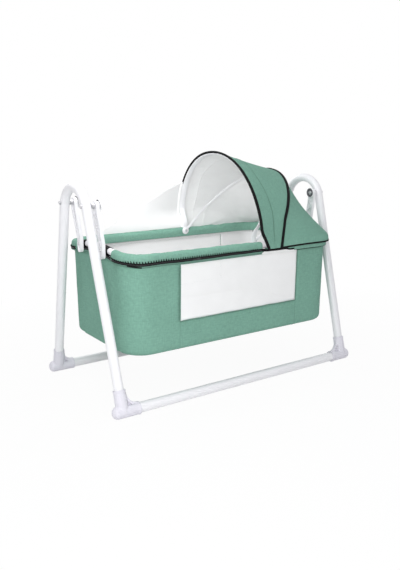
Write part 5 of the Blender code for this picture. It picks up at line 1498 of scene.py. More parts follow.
class CRADLE_OT_zip(bpy.types.Operator):
    """Make the zip round the basket's top edge, with its teeth, slider and pull"""

    bl_idname = "cradle.zip"
    bl_label = "Zip"

    def execute(self, context):
        line = zip_line()
        tape = ribbon("zip_webbing", line, zip_section, "black_webbing", cyclic=True)
        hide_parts("zip_tape")
        left = [i for i, step in enumerate(line) if step[0].x < CUFF_NEAR_STOP_X]
        first = next(i for i in left if line[i][0].y < 0)
        last = max(i for i in left if line[i][0].y > 0)
        # The facing strip under the cuff takes the darker canvas copy: painted shade.
        ribbon("zip_facing", line[first : last + 1], facing_section, "canvas_seam")
        covered = [step for step in line if step[0].x > COVER_START_X and step[0].y < COVER_END_Y]
        ribbon("zip_cover", covered, cover_section, "canvas")
        # A black strip under the cover's edge, standing for the shadow line there: painted shadow.
        ribbon("zip_cover_shadow_strip", covered, cover_shadow_section, "black_webbing")
        side = [step for step in line if -0.250 < step[0].x - 0.005 < 0.252 and step[0].y < 0]
        side = [step for step in side if step[0].x > CUFF_NEAR_STOP_X + 0.003]
        ribbon("window_head_tape", side, head_section, "lining")

        places = [step[0] + step[1] * step[3] for step in line]
        places.append(places[0].copy())
        bm = bmesh.new()
        for place, run, outward in even_steps(places, ZIP_TEETH_PITCH):
            if place.x <= TEETH_END_X:
                upright_box(bm, place, outward, run, *TOOTH)
        piece("zip_coil", bm, "zip_teeth", "bassinet")
        bm = bmesh.new()
        for place, run, outward in even_steps(places, STITCH_PITCH):
            on_bare_tube = place.x < STITCH_ARM_X and abs(place.y) < CUFF_END_Y
            if place.x <= STITCH_END_X and not on_bare_tube:
                stitch(bm, place, run, outward)
        piece("zip_stitches", bm, "black_webbing", "bassinet")
        zip_pull(line)
        return {"FINISHED"}


def even_steps(places, pitch):
    """Gives the place, the direction of travel and the outward direction at even steps."""
    even = resampled(places, int(line_length(places) / pitch))
    for place, ahead in zip(even, even[1:]):
        run = (ahead - place).normalized()
        yield place, run, Vector((-run.y, run.x, 0.0)).normalized()


def stitch(bm, place, run, outward):
    """One whipped stitch, which climbs from the zip's tape onto the cuff and thins out."""
    tall = mix(STITCH_TALL, STITCH_SHORT, smooth((place.x + 0.14) / 0.14))
    tall *= 0.35 + 0.65 * smooth((place.x + 0.455) / 0.02)
    tall *= 1 + 0.25 * ripple(place, 0.012, 5.5)
    lean = 0.0012 + 0.0008 * ripple(place, 0.02, 8.5)
    path = []
    for share in STITCH_SHARES:
        height = ZIP_HALF_HEIGHT - STITCH_ROOT + (tall + STITCH_ROOT) * share
        away = outward * (0.0004 + 0.0010 * share)
        path.append(place + away + run * lean * share + Vector((0.0, 0.0, height)))
    swept(bm, path, lambda i: ring_of(STITCH_RADII[i], 6), outward)


def head_section(half, offset):
    """The white tape at the head of the near window, which reaches up to the zip."""
    rows = [(offset + 0.0004, -half + 0.0006), (offset - 0.0016, -half - 0.0014)]
    rows += [(0.0066, -half - 0.0060), (0.0050, -half - 0.0110)]
    return rows + [(o - 0.0009, h) for o, h in rows[::-1]]


def zip_pull(line):
    """The slider on the zip, with its pull lying along the tape, and the tape's folded end."""
    near = [step for step in line if step[0].y < -0.2]
    place, outward, half, offset = min(near, key=lambda step: abs(step[0].x - SLIDER_X))
    run = Vector((1.0, 0.0, 0.0))
    seat = place + outward * offset
    bm = bmesh.new()
    upright_box(bm, seat, outward, run, (0.0002, 0.0026), (-0.0060, 0.0060), (-0.0034, 0.0034))
    upright_box(bm, seat, outward, run, (0.0020, 0.0036), (-0.0025, 0.0025), (-0.0012, 0.0012))
    upright_box(bm, seat, outward, run, (0.0028, 0.0040), (-0.0260, -0.0005), (-0.0026, 0.0026))
    slider = edged(piece("zip_slider_body", bm, "black_moulding"), 0.0004)
    slider.data.shade_smooth()
    slider.data.set_sharp_from_angle(angle=radians(40))
    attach(slider, "bassinet")
    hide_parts("zip_slider")
    corner = [step for step in near if step[0].x < -0.400 and step[0].y < -0.200]
    path, ups = [], []
    for k, (place, outward, half, offset) in enumerate(corner):
        share = k / (len(corner) - 1)
        drop = mix(0.0044, 0.0010, share)
        below = Vector((0.0, 0.0, half - 0.0006 + drop * 0.75))
        path.append(place + outward * (offset - 0.0002) - below)
        ups.append(outward)
    section = flat_section(0.0046, 0.0026)
    band("zip_tape_end", path, section, ups, "black_webbing", "zip_tape", "bassinet")


# The bed

MATTRESS_INSET = 0.0082
MATTRESS_PROFILE = (
    (0.022, 0.0), (0.010, 0.06), (0.008, 0.5), (0.010, 0.94),
    (0.022, 1.0), (0.08, 1.06), (0.16, 1.1),
)
MATTRESS_GRID = 0.006
MATTRESS_SWELL = 0.006
MATTRESS_HIGHEST_Z = 0.2365
QUILT_PITCH = 0.11
QUILT_DEPTH = 0.0030
QUILT_MARGIN = 0.020


class CRADLE_OT_bed(bpy.types.Operator):
    """Finish the base board and fill the mattress by a cloth simulation"""

    bl_idname = "cradle.bed"
    bl_label = "Base board and mattress"

    def execute(self, context):
        refinish("base_board", "fibreboard", 0.0006)
        sizes = context.scene.cradle_sizes
        low, high = MATTRESS_LOW_Z + 0.002, MATTRESS_LOW_Z + MATTRESS_THICKNESS - 0.004
        rows = [
            basket_ring(MATTRESS_INSET + inset, mix(low, high, share), 1.0)
            for inset, share in MATTRESS_PROFILE
        ]
        bm = bmesh.new()
        grid = skin(bm, rows, wrap_columns=True)
        bm.faces.new(reversed(grid[0]))
        bm.faces.new(grid[-1])
        obj = piece("cotton_mattress", bm, "ticking", sharp=180)
        evened(obj, MATTRESS_GRID, "ticking")
        filled(obj, sizes.mattress_pressure, MATTRESS_SWELL)
        quilt(obj)
        obj.data.shade_smooth()
        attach(obj, "bassinet")
        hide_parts("mattress")
        return {"FINISHED"}


def filled(obj, pressure, most):
    """Blows a closed form up like a filled cushion, and holds each point near where it began."""
    begun = [vertex.co.copy() for vertex in obj.data.vertices]
    cloth = obj.modifiers.new("filling", "CLOTH")
    cloth.settings.use_pressure = True
    cloth.settings.uniform_pressure_force = pressure
    cloth.settings.effector_weights.gravity = 0.0
    scene = bpy.context.scene
    for number in range(1, 21):
        scene.frame_set(number)
    settled(obj)
    scene.frame_set(1)
    for vertex, start in zip(obj.data.vertices, begun):
        move = vertex.co - start
        if move.length > most:
            vertex.co = start + move.normalized() * most


def quilt(obj):
    """Draws the mattress's top in along its sewn diamonds, and keeps it inside the basket."""
    top = max(vertex.co.z for vertex in obj.data.vertices)
    for vertex in obj.data.vertices:
        place = vertex.co
        if place.z > top - 0.012:
            rising = abs(sin((place.x + place.y) * pi / QUILT_PITCH))
            falling = abs(sin((place.x - place.y) * pi / QUILT_PITCH))
            edge = smooth((RIM_HALF_WIDTH - QUILT_MARGIN - abs(place.y)) / 0.03)
            edge *= smooth((RIM_HALF_LENGTH - QUILT_MARGIN - abs(place.x)) / 0.03)
            place.z -= QUILT_DEPTH * (1 - smooth(min(rising, falling) / 0.30)) * edge
        place.z = min(place.z, MATTRESS_HIGHEST_Z)
        place.z = max(place.z, MATTRESS_LOW_Z)


# The hood's lines, drawn for the rear half (y > 0) and mirrored

HEM_OFFSET = RIM_RADIUS + SOLID_GAP + CUFF_PADDING + HOOD_CUFF_GAP + HOOD_FABRIC
HEM_Y = RIM_HALF_WIDTH + HEM_OFFSET


def front_x(z):
    return HUB_X - HOOD_FRONT_LEAN * (z - HUB_Z) / HOOD_FRONT_HEIGHT


def arch_width(rise, height, half_width, power):
    """Half width of a hood arch at a height above its base."""
    share = min(max(rise / height, 0.0), 1.0)
    return half_width * (1 - share**power) ** (1 / power)


def half_arch(start_z, base_z, height, half_width, power, steps):
    """(y, z) points of half an arch, from a start height up to its top, evenly turned."""
    start = (start_z - base_z) / height
    first = atan2(start ** (power / 2), (1 - start**power) ** 0.5)
    points = []
    for i in range(steps + 1):
        angle = mix(first, pi / 2, i / steps)
        y = half_width * cos(angle) ** (2 / power)
        points.append((y, base_z + height * sin(angle) ** (2 / power)))
    points[-1] = (0.0, base_z + height)
    return points


def front_line():
    """The hood's front edge: up a slanted foot to the knee, then over the front bow."""
    foot = Vector((HOOD_FRONT_FOOT_X, HEM_Y, HOOD_FRONT_FOOT_Z))
    arch = half_arch(
        HOOD_FRONT_KNEE_Z,
        HUB_Z,
        HOOD_FRONT_HEIGHT - (HUB_Z - RIM_Z),
        HOOD_FRONT_HALF_WIDTH,
        HOOD_FRONT_POWER_SHARE,
        HOOD_STEPS - 2,
    )
    rest = [Vector((front_x(z), y, z)) for y, z in arch]
    return whole([foot, foot.lerp(rest[0], 1 / 2)] + rest)


def middle_line():
    """The hood's middle seam: up a steep foot, then over the tilted middle bow."""
    tilt = HOOD_MIDDLE_TILT_SHARE
    foot = Vector((HOOD_MIDDLE_FOOT_X, HEM_Y, HOOD_HEM_Z))
    arch = half_arch(
        HOOD_MIDDLE_KNEE_Z,
        HUB_Z,
        HOOD_MIDDLE_REACH * cos(tilt),
        HOOD_MIDDLE_HALF_WIDTH,
        HOOD_MIDDLE_POWER_SHARE,
        HOOD_STEPS - 2,
    )
    rest = [Vector((HOOD_MIDDLE_X + (z - HUB_Z) * sin(tilt) / cos(tilt), y, z)) for y, z in arch]
    return whole([foot, foot.lerp(rest[0], 1 / 2)] + rest)


def hem_line(offset_side, offset_notch, drop_side, drop_notch):
    """A line round the right end of the rim, lifted over the bare tube where the arms hang."""
    corner = RIM_CORNER_RADIUS
    length, width = RIM_HALF_LENGTH - corner, RIM_HALF_WIDTH - corner
    straight = HOOD_STEPS - RIM_CORNER_STEPS - 5
    steps = [mix(HOOD_REAR_START_X, length, i / straight) for i in range(straight)]
    places = [(x, RIM_HALF_WIDTH, 0.0) for x in steps]
    for i in range(RIM_CORNER_STEPS + 1):
        angle = pi / 2 * i / RIM_CORNER_STEPS
        places.append((length + corner * sin(angle), width + corner * cos(angle), angle))
    notch_start = HOOD_NOTCH_Y + HOOD_NOTCH_BLEND
    end_ys = (notch_start, notch_start - HOOD_NOTCH_BLEND / 2, HOOD_NOTCH_Y, HOOD_NOTCH_Y / 2, 0.0)
    places += [(RIM_HALF_LENGTH, y, pi / 2) for y in end_ys]
    half = []
    for x, y, angle in places:
        notch = smooth((notch_start - y) / HOOD_NOTCH_BLEND)
        side = mix(*offset_side, smooth(angle / (pi / 2))) + HOOD_CORNER_SWELL * sin(2 * angle)
        turn = mix(atan2(drop_side, side), atan2(drop_notch, offset_notch), notch)
        away = mix(hypot(drop_side, side), hypot(drop_notch, offset_notch), notch)
        offset = away * cos(turn)
        z = rim_z(y) + away * sin(turn)
        half.append(Vector((x + offset * sin(angle), y + offset * cos(angle), z)))
    half[-1].y = 0.0
    return whole(half)


def hood_lines():
    """The two seam lines of the front gore and the rows of the rear one, finely drawn."""
    count = 2 * HOOD_STEPS
    front = resampled(front_line(), count)
    middle = resampled(middle_line(), count)
    tube_top = RIM_RADIUS + 0.0014 + 0.0012 + HOOD_FABRIC + HOOD_CUFF_GAP
    crest = RIM_RADIUS + SOLID_GAP + CUFF_PADDING + HOOD_FABRIC + HOOD_CUFF_GAP
    side = HEM_OFFSET
    upper_side = HEM_OFFSET - HOOD_FABRIC / 4
    hem = hem_line((side, side), tube_top / 3, HOOD_HEM_Z - RIM_Z, tube_top)
    for point in hem + middle:
        point.z -= 0.0026 * smooth((0.29 - point.x) / 0.11) * smooth((0.515 - point.z) / 0.02)
    for point in front:
        point.z -= 0.0062 * smooth((0.530 - point.z) / 0.03)
    lift = tube_top + HOOD_FABRIC / 2
    shoulder = hem_line((upper_side, upper_side), tube_top / 6, crest / 3, lift)
    ridge = hem_line((upper_side, crest / 4), 0.0, crest, tube_top + HOOD_FABRIC)
    return front, middle, ridge, shoulder, hem


def seam_share(along):
    """Where the front gore's lapped seam runs, as a share of the way from the front edge back."""
    low = min(along, 1 - along)
    return 0.30 + 0.25 * smooth((0.33 - low) / 0.26)


def seam_strength(along):
    return smooth((0.42 - min(along, 1 - along)) / 0.10)


def bend_front(obj):
    """Bakes a piece's placement into its mesh."""
    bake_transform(obj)


def bend_rear(obj):
    """Bakes a piece's placement into its mesh."""
    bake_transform(obj)


FOOT_COLUMNS = 5
LAP_START = 3


def bend_foot(obj):
    """Bakes a piece's placement into its mesh."""
    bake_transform(obj)


def feet_cut_off(obj, name):
    """Takes a thickened piece's marked feet off as a piece of their own, closed at the cut."""
    feet = placed(name, obj.data.copy())
    half = len(obj.data.vertices) // 2
    for part, kept in ((obj, 0), (feet, 1)):
        bm = bmesh.new()
        bm.from_mesh(part.data)
        bm.verts.ensure_lookup_table()
        foot = bm.faces.layers.int["foot"]
        outer = [edge for edge in bm.edges if max(vertex.index for vertex in edge.verts) < half]
        cuts = [edge for edge in outer if {face[foot] for face in edge.link_faces} == {0, 1}]
        gone = [face for face in bm.faces if face[foot] != kept]
        for a, b in [[vertex.index for vertex in edge.verts] for edge in cuts]:
            wall = bm.faces.new([bm.verts[i] for i in (a, b, b + half, a + half)])
            wall[foot] = kept
            wall.smooth = True
        bmesh.ops.delete(bm, geom=gone, context="FACES")
        bmesh.ops.recalc_face_normals(bm, faces=bm.faces)
        bm.to_mesh(part.data)
        bm.free()
        part.data.set_sharp_from_angle(angle=radians(80))
    return feet


def edge_band(name, path, ups, section, finish, near, far):
    """Sweeps a band over the front gore, with the given number of steps at its ends as feet."""
    last = len(path) - 1 - far
    parts = [("", near, last, bend_front)]
    if near:
        parts.append(("_near_foot", 0, near, bend_foot))
    if far:
        parts.append(("_far_foot", last, last + far, bend_foot))
    for ending, first, final, bend in parts:
        part = slice(first, final + 1)
        bend(band(name + ending, path[part], section, ups[part], finish, "hood_front_gore"))


FRONT_ROWS = 22


class CRADLE_OT_hood_front(bpy.types.Operator):
    """Stretch the hood's front gore over both bows and bind its edges in black"""

    bl_idname = "cradle.hood_front"
    bl_label = "Hood, front gore"

    def execute(self, context):
        sizes = context.scene.cradle_sizes
        front, middle, *_ = hood_lines()
        lead = HOOD_SEAM_GAP / 2
        seam = [m + (f - m).normalized() * lead for f, m in zip(front, middle)]
        rows = [bent(between(front, seam, i / FRONT_ROWS), 4) for i in range(FRONT_ROWS + 1)]
        bm = bmesh.new()
        grid = skin(bm, rows)
        point_outward(bm, (0.15, 0.0, 0.50))
        shape_front(grid, sizes)
        column = {vertex: j for row in grid for j, vertex in enumerate(row)}
        top = len(grid[0]) - 1 - FOOT_COLUMNS
        foot = bm.faces.layers.int.new("foot")
        for face in bm.faces:
            low = min(column[vertex] for vertex in face.verts)
            face[foot] = int(not FOOT_COLUMNS <= low < top)
        area = sum(face.calc_area() for face in bm.faces if not face[foot])
        obj = piece(
            "hood_front_canvas", bm, ("canvas", "lining"), closed=False, sharp=80
        )
        thickened(obj, sizes.canvas_thickness, inner_material=1)
        bend_foot(feet_cut_off(obj, "hood_front_feet"))
        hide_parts("hood_front_gore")
        arch = line_length(rows[FRONT_ROWS // 2])
        flat = (area / arch * 1.5, arch)
        bend_front(obj)

        lines = [bent(line, 4) for line in (front, seam, middle)]
        inward, outward = beside(lines[0], lines[1])
        width = sizes.binding_width
        path = [p + d * width * 0.30 for p, d in zip(lines[0], inward)]
        path = [p - n * sizes.canvas_thickness * 0.5 for p, n in zip(path, outward)]
        white = [i for i, p in enumerate(path) if p.y > 0 and p.z < NET_TOP_Z]
        black = list(range(white[0] + 1))
        for name, part, finish, near, far in (
            ("hood_front_binding", black, "black_webbing", FOOT_COLUMNS, 0),
            ("hood_far_binding", white, "lining", 0, FOOT_COLUMNS),
        ):
            places, ups = [path[i] for i in part], [outward[i] for i in part]
            edge_band(name, places, ups, flat_section(width * 1.32, 0.0078), finish, near, far)

        path, ups = seam_path(rows, sizes)
        inside = [p - n * (sizes.canvas_thickness + 0.0010) for p, n in zip(path, ups)]
        foot = FOOT_COLUMNS - LAP_START
        sewn, tape = flat_section(0.0030, 0.0012), flat_section(0.0050, 0.0014)
        # The lapped seam takes the darker canvas copy: painted shade along the seam.
        edge_band("hood_lap_seam", path, ups, sewn, "canvas_seam", foot, foot)
        edge_band("hood_pocket_seam", inside, ups, tape, "lining", foot, foot)
        return {"FINISHED"}


def flat_section(width, height):
    """The section of a flat tape with rounded edges."""
    half, top = width / 2, height / 2
    right = [(half, 0.0), (half - top * 0.3, top * 0.72), (half - top * 0.9, top)]
    left = [(-x, z) for x, z in right[::-1]]
    upper = right + left
    return upper + [(x, -z) for x, z in upper[-2:0:-1]]


def facing(line, i, across):
    """The outward direction of the hood's fabric at a point of one of its lines."""
    travel = line[min(i + 1, len(line) - 1)] - line[max(i - 1, 0)]
    normal = travel.cross(across).normalized()
    away = line[i] - Vector((0.15, 0.0, 0.45))
    return normal if normal.dot(away) > 0 else -normal


def beside(line, other):
    """At each point of a line, the direction towards another and the fabric's outward direction."""
    across = [(b - a).normalized() for a, b in zip(line, other)]
    return across, [facing(line, i, across[i]) for i in range(len(line))]


def front_sag(along, back, sizes):
    """How far the front gore hollows at a place, and how far its slack stands out."""
    swell = sin(pi * back)
    hollow = -sizes.hood_sag * swell * smooth(min(along, 1 - along) / 0.2)
    slack = ripple((along * 0.9, back * 0.22, 0.0), 0.085, 1.3) * sizes.wrinkle * 1.3
    return hollow, slack * swell


def shape_front(grid, sizes):
    """Hollows the front gore between its bows, raises its lapped panel and puckers its seams."""
    rows, columns = len(grid) - 1, len(grid[0]) - 1
    moves = []
    for i, row in enumerate(grid):
        for j, vertex in enumerate(row):
            back, along = i / rows, j / columns
            hollow, slack = front_sag(along, back, sizes)
            lap = smooth((seam_share(along) - back) / 0.05) * seam_strength(along)
            lap *= smooth(back / 0.08) * 0.0020
            near_edge = exp(-min(back, 1 - back) / 0.10)
            pucker = ripple((along * 1.1, back * 0.05, 0.0), 0.014, 8.8) * 0.0008 * near_edge
            pucker *= min(1.0, smooth(min(back, 1 - back) / 0.04) + 0.15)
            moves.append((vertex, vertex.normal * (hollow + lap + pucker + slack)))
    for vertex, move in moves:
        vertex.co += move


def seam_path(rows, sizes):
    """The lapped seam's path on the front gore, with the fabric's outward direction along it."""
    columns = len(rows[0]) - 1
    path, ups = [], []
    for j in range(LAP_START, columns - LAP_START + 1):
        along = j / columns
        share = seam_share(along) * FRONT_ROWS
        k = int(share)
        place = rows[k][j].lerp(rows[k + 1][j], share - k)
        across = (rows[k + 1][j] - rows[k][j]).normalized()
        normal = facing(rows[k], j, across)
        hollow, slack = front_sag(along, share / FRONT_ROWS, sizes)
        path.append(place + normal * (hollow + slack + 0.0008))
        ups.append(normal)
    return path, ups


class CRADLE_OT_hood_rear(bpy.types.Operator):
    """Stretch the hood's rear gore from the middle bow down over the rim's end, and bind its hem"""

    bl_idname = "cradle.hood_rear"
    bl_label = "Hood, rear gore"

    def execute(self, context):
        sizes = context.scene.cradle_sizes
        front, middle, ridge, shoulder, hem = hood_lines()
        lead = HOOD_SEAM_GAP / 2
        seam = [m + (r - m).normalized() * lead for m, r in zip(middle, ridge)]
        lines = [bent(line, 4) for line in (seam, ridge, shoulder, hem)]
        for j, (top, low) in enumerate(zip(lines[0], lines[3])):
            for k, share in ((1, 0.62), (2, 0.30)):
                level = smooth((lines[k][j].z + 0.012 - top.z) / 0.024)
                lines[k][j] = lines[k][j].lerp(low.lerp(top, share), level)
        rows = []
        for (above, below), steps in zip(zip(lines, lines[1:]), (18, 4, 5)):
            rows += [between(above, below, k / steps) for k in range(steps)]
        rows.append(lines[-1])
        for _ in range(2):
            eased = [between(a, c, 0.5) for a, c in zip(rows, rows[2:])]
            rows[1:-1] = [between(b, m, 0.5) for b, m in zip(rows[1:-1], eased)]
        bm = bmesh.new()
        grid = skin(bm, rows)
        point_outward(bm, (0.25, 0.0, 0.50))
        last, wide = len(grid) - 1, len(grid[0]) - 1
        moves = []
        for i, row in enumerate(grid):
            for j, vertex in enumerate(row):
                down, along = i / last, j / wide
                free = smooth(down / 0.08) * smooth((0.66 - down) / 0.25)
                hollow = -sizes.hood_sag * 0.5 * sin(pi * min(down / 0.7, 1.0))
                slack = ripple((along * 0.8, down * 0.15, 0.0), 0.060, 5.9) * sizes.wrinkle * 1.6
                drape = ripple((along * 1.4 + down * 0.25, down * 0.10, 0.0), 0.035, 2.2)
                drape *= sizes.wrinkle
                drape *= smooth((down - 0.3) / 0.3)
                moves.append((vertex, vertex.normal * (hollow + slack + drape) * free))
        for vertex, move in moves:
            vertex.co += move
        obj = piece(
            "hood_rear_canvas", bm, ("canvas", "lining"), closed=False, sharp=80
        )
        thickened(obj, sizes.canvas_thickness, inner_material=1)
        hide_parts("hood_rear_gore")
        bend_rear(obj)

        width = sizes.binding_width
        fine_middle = bent(middle, 4)
        _, ups = beside(fine_middle, bent(front, 4))
        path = [p + n * 0.0008 for p, n in zip(fine_middle, ups)]
        name, section = "hood_middle_binding", flat_section(width * 1.36, 0.0064)
        bend_rear(band(name, path, section, ups, "black_webbing", "hood_rear_gore"))
        path = [p - n * (sizes.canvas_thickness + 0.0005) for p, n in zip(fine_middle, ups)]
        section = flat_section(0.0110, 0.0012)
        bend_rear(band("hood_seam_tape", path, section, ups, "lining", "hood_rear_gore"))

        fine_hem, above = rows[-1], rows[-3]
        upward, ups = beside(fine_hem, above)
        depth = sizes.canvas_thickness / 2
        path = [p + d * 0.0012 - n * depth for p, d, n in zip(fine_hem, upward, ups)]
        name, section = "hood_hem_binding", flat_section(width * 0.78, 0.0060)
        band(name, path, section, ups, "black_webbing", "hood_rear_gore", "bassinet")
        return {"FINISHED"}


CUFF_INNER_Y = RIM_HALF_WIDTH - RIM_RADIUS - SOLID_GAP - CUFF_PADDING
FRONT_EYE_Y = CUFF_INNER_Y - SOLID_GAP - BOW_THICKNESS / 2
MIDDLE_EYE_Y = FRONT_EYE_Y - BOW_THICKNESS - SOLID_GAP


def bow_rises(height, start, settle, power):
    """Heights at which a half bow is drawn: close together while it settles, then evenly turned."""
    low = [0.0, start / 2]
    low += [start + settle * share for share in (0.0, 0.25, 0.5, 0.75, 1.0)]
    upper = half_arch(low[-1], 0.0, height, 1.0, power, BOW_STEPS - len(low) + 1)
    return low + [rise for _, rise in upper[1:]]


def bent_bow(name, node, points, slopes, across, width, eye_radius, eye_y):
    """A moulded strip bent over the hood, with rounded edges and an eye at each end."""
    line = whole(points)
    slopes = slopes + slopes[-2::-1]
    fine = bent(line, 4)
    ups = []
    for i in range(len(fine)):
        k, part = divmod(i, 4)
        slope = mix(slopes[k], slopes[min(k + 1, len(slopes) - 1)], part / 4)
        travel = fine[min(i + 1, len(fine) - 1)] - fine[max(i - 1, 0)]
        outward = across.cross(travel).normalized()
        lying = (across - outward * slope).normalized()
        ups.append(lying.cross(travel).normalized())
    section = flat_section(width, BOW_STRIP_THICKNESS)
    strip = band(name, fine, section, ups, "white_moulding", node, sharp=50)
    for side in (-1, 1):
        half = BOW_THICKNESS / 2
        profile = [(-half, 0.0), (-half, eye_radius - 0.0008), (-half + 0.0006, eye_radius)]
        profile += [(-along, radius) for along, radius in profile[::-1]]
        bm = bmesh.new()
        turned(bm, profile, (HUB_X, side * eye_y, HUB_Z), (0.0, 1.0, 0.0), 40)
        eye = piece(f"{name}_eye", bm, "white_moulding", sharp=50)
        union = strip.modifiers.new("eye", "BOOLEAN")
        union.operation = "UNION"
        union.solver = "EXACT"
        union.object = eye
        settled(strip)
        bpy.data.objects.remove(eye)
    strip.data.shade_smooth()
    strip.data.set_sharp_from_angle(angle=radians(50))
    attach(strip, node)
    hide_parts(node)
    return strip


class CRADLE_OT_bows(bpy.types.Operator):
    """Make both hood bows and the rivets they turn on"""

    bl_idname = "cradle.bows"
    bl_label = "Hood bows"

    def execute(self, context):
        inset = HOOD_FABRIC + HOOD_BOW_GAP + BOW_THICKNESS / 2
        lean = HOOD_FRONT_LEAN / HOOD_FRONT_HEIGHT
        height = HOOD_FRONT_HEIGHT - (HUB_Z - RIM_Z) - inset
        front, slopes = [], []
        start, spread = FRONT_BOW_SETTLE_START, FRONT_BOW_SETTLE_HEIGHT
        for rise in bow_rises(height, start, spread, HOOD_FRONT_POWER_SHARE):
            y = arch_width(rise, height, HOOD_FRONT_HALF_WIDTH - inset, HOOD_FRONT_POWER_SHARE)
            settle = smooth((rise - start) / spread)
            x = HUB_X - rise * lean + settle * FRONT_BOW_WIDTH / 2
            drop = settle * FRONT_BOW_SLOPE * FRONT_BOW_WIDTH / 2
            share = 1 - drop / HOOD_FRONT_HALF_WIDTH
            front.append(Vector((x, mix(FRONT_EYE_Y, y, settle) * share, HUB_Z + rise * share)))
            slopes.append(settle * FRONT_BOW_SLOPE)
        front[-1].y = 0.0
        across = Vector((1.0, 0.0, lean))
        strip = (FRONT_BOW_WIDTH, FRONT_BOW_EYE_RADIUS, FRONT_EYE_Y)
        bent_bow("bent_front_bow", "front_bow", front, slopes, across, *strip)
        tilt = HOOD_MIDDLE_TILT_SHARE
        height = (HOOD_MIDDLE_REACH - inset) * cos(tilt)
        half_width = HOOD_MIDDLE_HALF_WIDTH - inset - MIDDLE_BOW_CLEARANCE
        middle = []
        start, spread = MIDDLE_BOW_SETTLE_START, MIDDLE_BOW_SETTLE_HEIGHT
        for rise in bow_rises(height, start, spread, HOOD_MIDDLE_POWER_SHARE):
            y = arch_width(rise, height, half_width, HOOD_MIDDLE_POWER_SHARE)
            y = mix(MIDDLE_EYE_Y, y, smooth((rise - start) / spread))
            bend = (HOOD_MIDDLE_X - HUB_X) * (1 - smooth(rise / MIDDLE_BOW_BEND_HEIGHT))
            x = HOOD_MIDDLE_X + rise * sin(tilt) / cos(tilt) - bend
            middle.append(Vector((x, y, HUB_Z + rise)))
        middle[-1].y = 0.0
        across = Vector((cos(tilt), 0.0, -sin(tilt)))
        slopes = [0.0] * len(middle)
        strip = (MIDDLE_BOW_WIDTH, MIDDLE_BOW_EYE_RADIUS, MIDDLE_EYE_Y)
        bent_bow("bent_middle_bow", "middle_bow", middle, slopes, across, *strip)
        for depth, sign in (("near", -1), ("far", 1)):
            tube_face = RIM_RADIUS + SOLID_GAP
            outer = RIM_HALF_WIDTH - FRONT_EYE_Y - BOW_THICKNESS / 2 - SOLID_GAP
            inner = RIM_HALF_WIDTH - MIDDLE_EYE_Y + BOW_THICKNESS / 2 + SOLID_GAP
            profile = set_off(inner, HUB_HEAD)
            profile += pin_shoulder(outer, tube_face, HUB_SHANK_RADIUS)
            profile += [(RIM_RADIUS / 3, HUB_SHANK_RADIUS), (RIM_RADIUS / 3, 0.0)]
            bm = bmesh.new()
            turned(bm, profile, (HUB_X, sign * RIM_HALF_WIDTH, HUB_Z), (0.0, -sign, 0.0), 32)
            node = f"hub_pin_{depth}"
            obj = piece(f"turned_{node}", bm, "plated_steel", "bassinet")
            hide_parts(node)
        return {"FINISHED"}


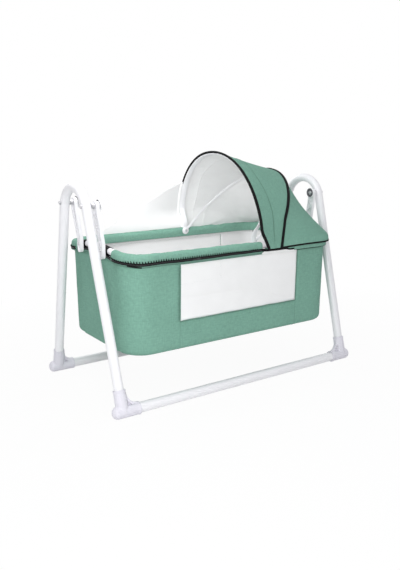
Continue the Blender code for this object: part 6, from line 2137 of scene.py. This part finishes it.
class CRADLE_OT_net(bpy.types.Operator):
    """Stretch the mosquito net from the far rim to the front bow, with a taped edge"""

    bl_idname = "cradle.net"
    bl_label = "Mosquito net"

    def execute(self, context):
        foot_z = RIM_Z + RIM_RADIUS + SOLID_GAP + CUFF_PADDING + NET_LIFT
        height = HOOD_FRONT_HEIGHT - (HUB_Z - RIM_Z)
        rows = []
        for row in range(NET_ROWS + 1):
            line = []
            for column in range(NET_COLUMNS + 1):
                along = mix(0.05, 1.0, column / NET_COLUMNS)
                up = row / NET_ROWS
                z = foot_z + (NET_TOP_Z - foot_z) * up * along
                bow_y = arch_width(z - HUB_Z, height, HOOD_FRONT_HALF_WIDTH, HOOD_FRONT_POWER_SHARE)
                bow_y = mix(RIM_HALF_WIDTH, bow_y, smooth((z - foot_z) / NET_SETTLE_HEIGHT))
                x = mix(NET_LEFT_X, front_x(z) - NET_BOW_GAP, along)
                y = mix(RIM_HALF_WIDTH, bow_y, along * along)
                free = sin(pi * column / NET_COLUMNS) * sin(pi * up)
                fold = ripple((x * 0.5 + z * 0.9, z * 0.2, 0.0), 0.030, 9.3) * 0.0022
                line.append(Vector((x, y + (fold - 0.002) * free, z)))
            rows.append(line)
        bm = bmesh.new()
        skin(bm, rows)
        point_outward(bm, CRADLE_MIDDLE)
        obj = piece("veil_net", bm, "mosquito_net", closed=False, sharp=80)
        thickened(obj, 0.0004)
        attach(obj, "bassinet")
        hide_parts("mosquito_net")
        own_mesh(obj)
        net_tape = ("lining", "mosquito_net", "bassinet")  # finish, slot and body
        top = resampled(rows[-1], 90)
        tape = band("veil_tape", top, flat_section(0.0022, 0.0012), (0.0, 1.0, 0.0), *net_tape)
        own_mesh(tape)
        edge = [row[-1] + Vector((-0.0042, -0.0026, 0.0)) for row in rows]
        section, up = flat_section(0.0098, 0.0024), (-0.80, -0.60, 0.0)
        tape = band("veil_edge_tape", edge, section, up, *net_tape)
        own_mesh(tape)
        return {"FINISHED"}


STEPS = (
    CRADLE_OT_finishes,
    CRADLE_OT_stage,
    CRADLE_OT_stand,
    CRADLE_OT_pivots,
    CRADLE_OT_hangers,
    CRADLE_OT_rim,
    CRADLE_OT_cuffs,
    CRADLE_OT_basket,
    CRADLE_OT_windows,
    CRADLE_OT_zip,
    CRADLE_OT_bed,
    CRADLE_OT_bows,
    CRADLE_OT_hood_front,
    CRADLE_OT_hood_rear,
    CRADLE_OT_net,
)


class CRADLE_PT_panel(bpy.types.Panel):
    """Lists the cradle's pieces, sizes and colours"""

    bl_label = "Baby cradle"
    bl_idname = "CRADLE_PT_panel"
    bl_space_type = "VIEW_3D"
    bl_region_type = "UI"
    bl_category = "Cradle"

    def draw(self, context):
        column = self.layout.column()
        for step in STEPS:
            column.operator(step.bl_idname)
        for group in (context.scene.cradle_sizes, context.scene.cradle_colours):
            for name in group.__annotations__:
                column.prop(group, name)


CLASSES = (CradleColours, CradleSizes, *STEPS, CRADLE_PT_panel)


def register():
    for cls in CLASSES:
        bpy.utils.register_class(cls)
    bpy.types.Scene.cradle_colours = PointerProperty(type=CradleColours)
    bpy.types.Scene.cradle_sizes = PointerProperty(type=CradleSizes)


def unregister():
    del bpy.types.Scene.cradle_sizes
    del bpy.types.Scene.cradle_colours
    for cls in reversed(CLASSES):
        bpy.utils.unregister_class(cls)


def main():
    register()
    for step in STEPS:
        group, name = step.bl_idname.split(".")
        getattr(getattr(bpy.ops, group), name)()


if __name__ == "__main__":
    main()
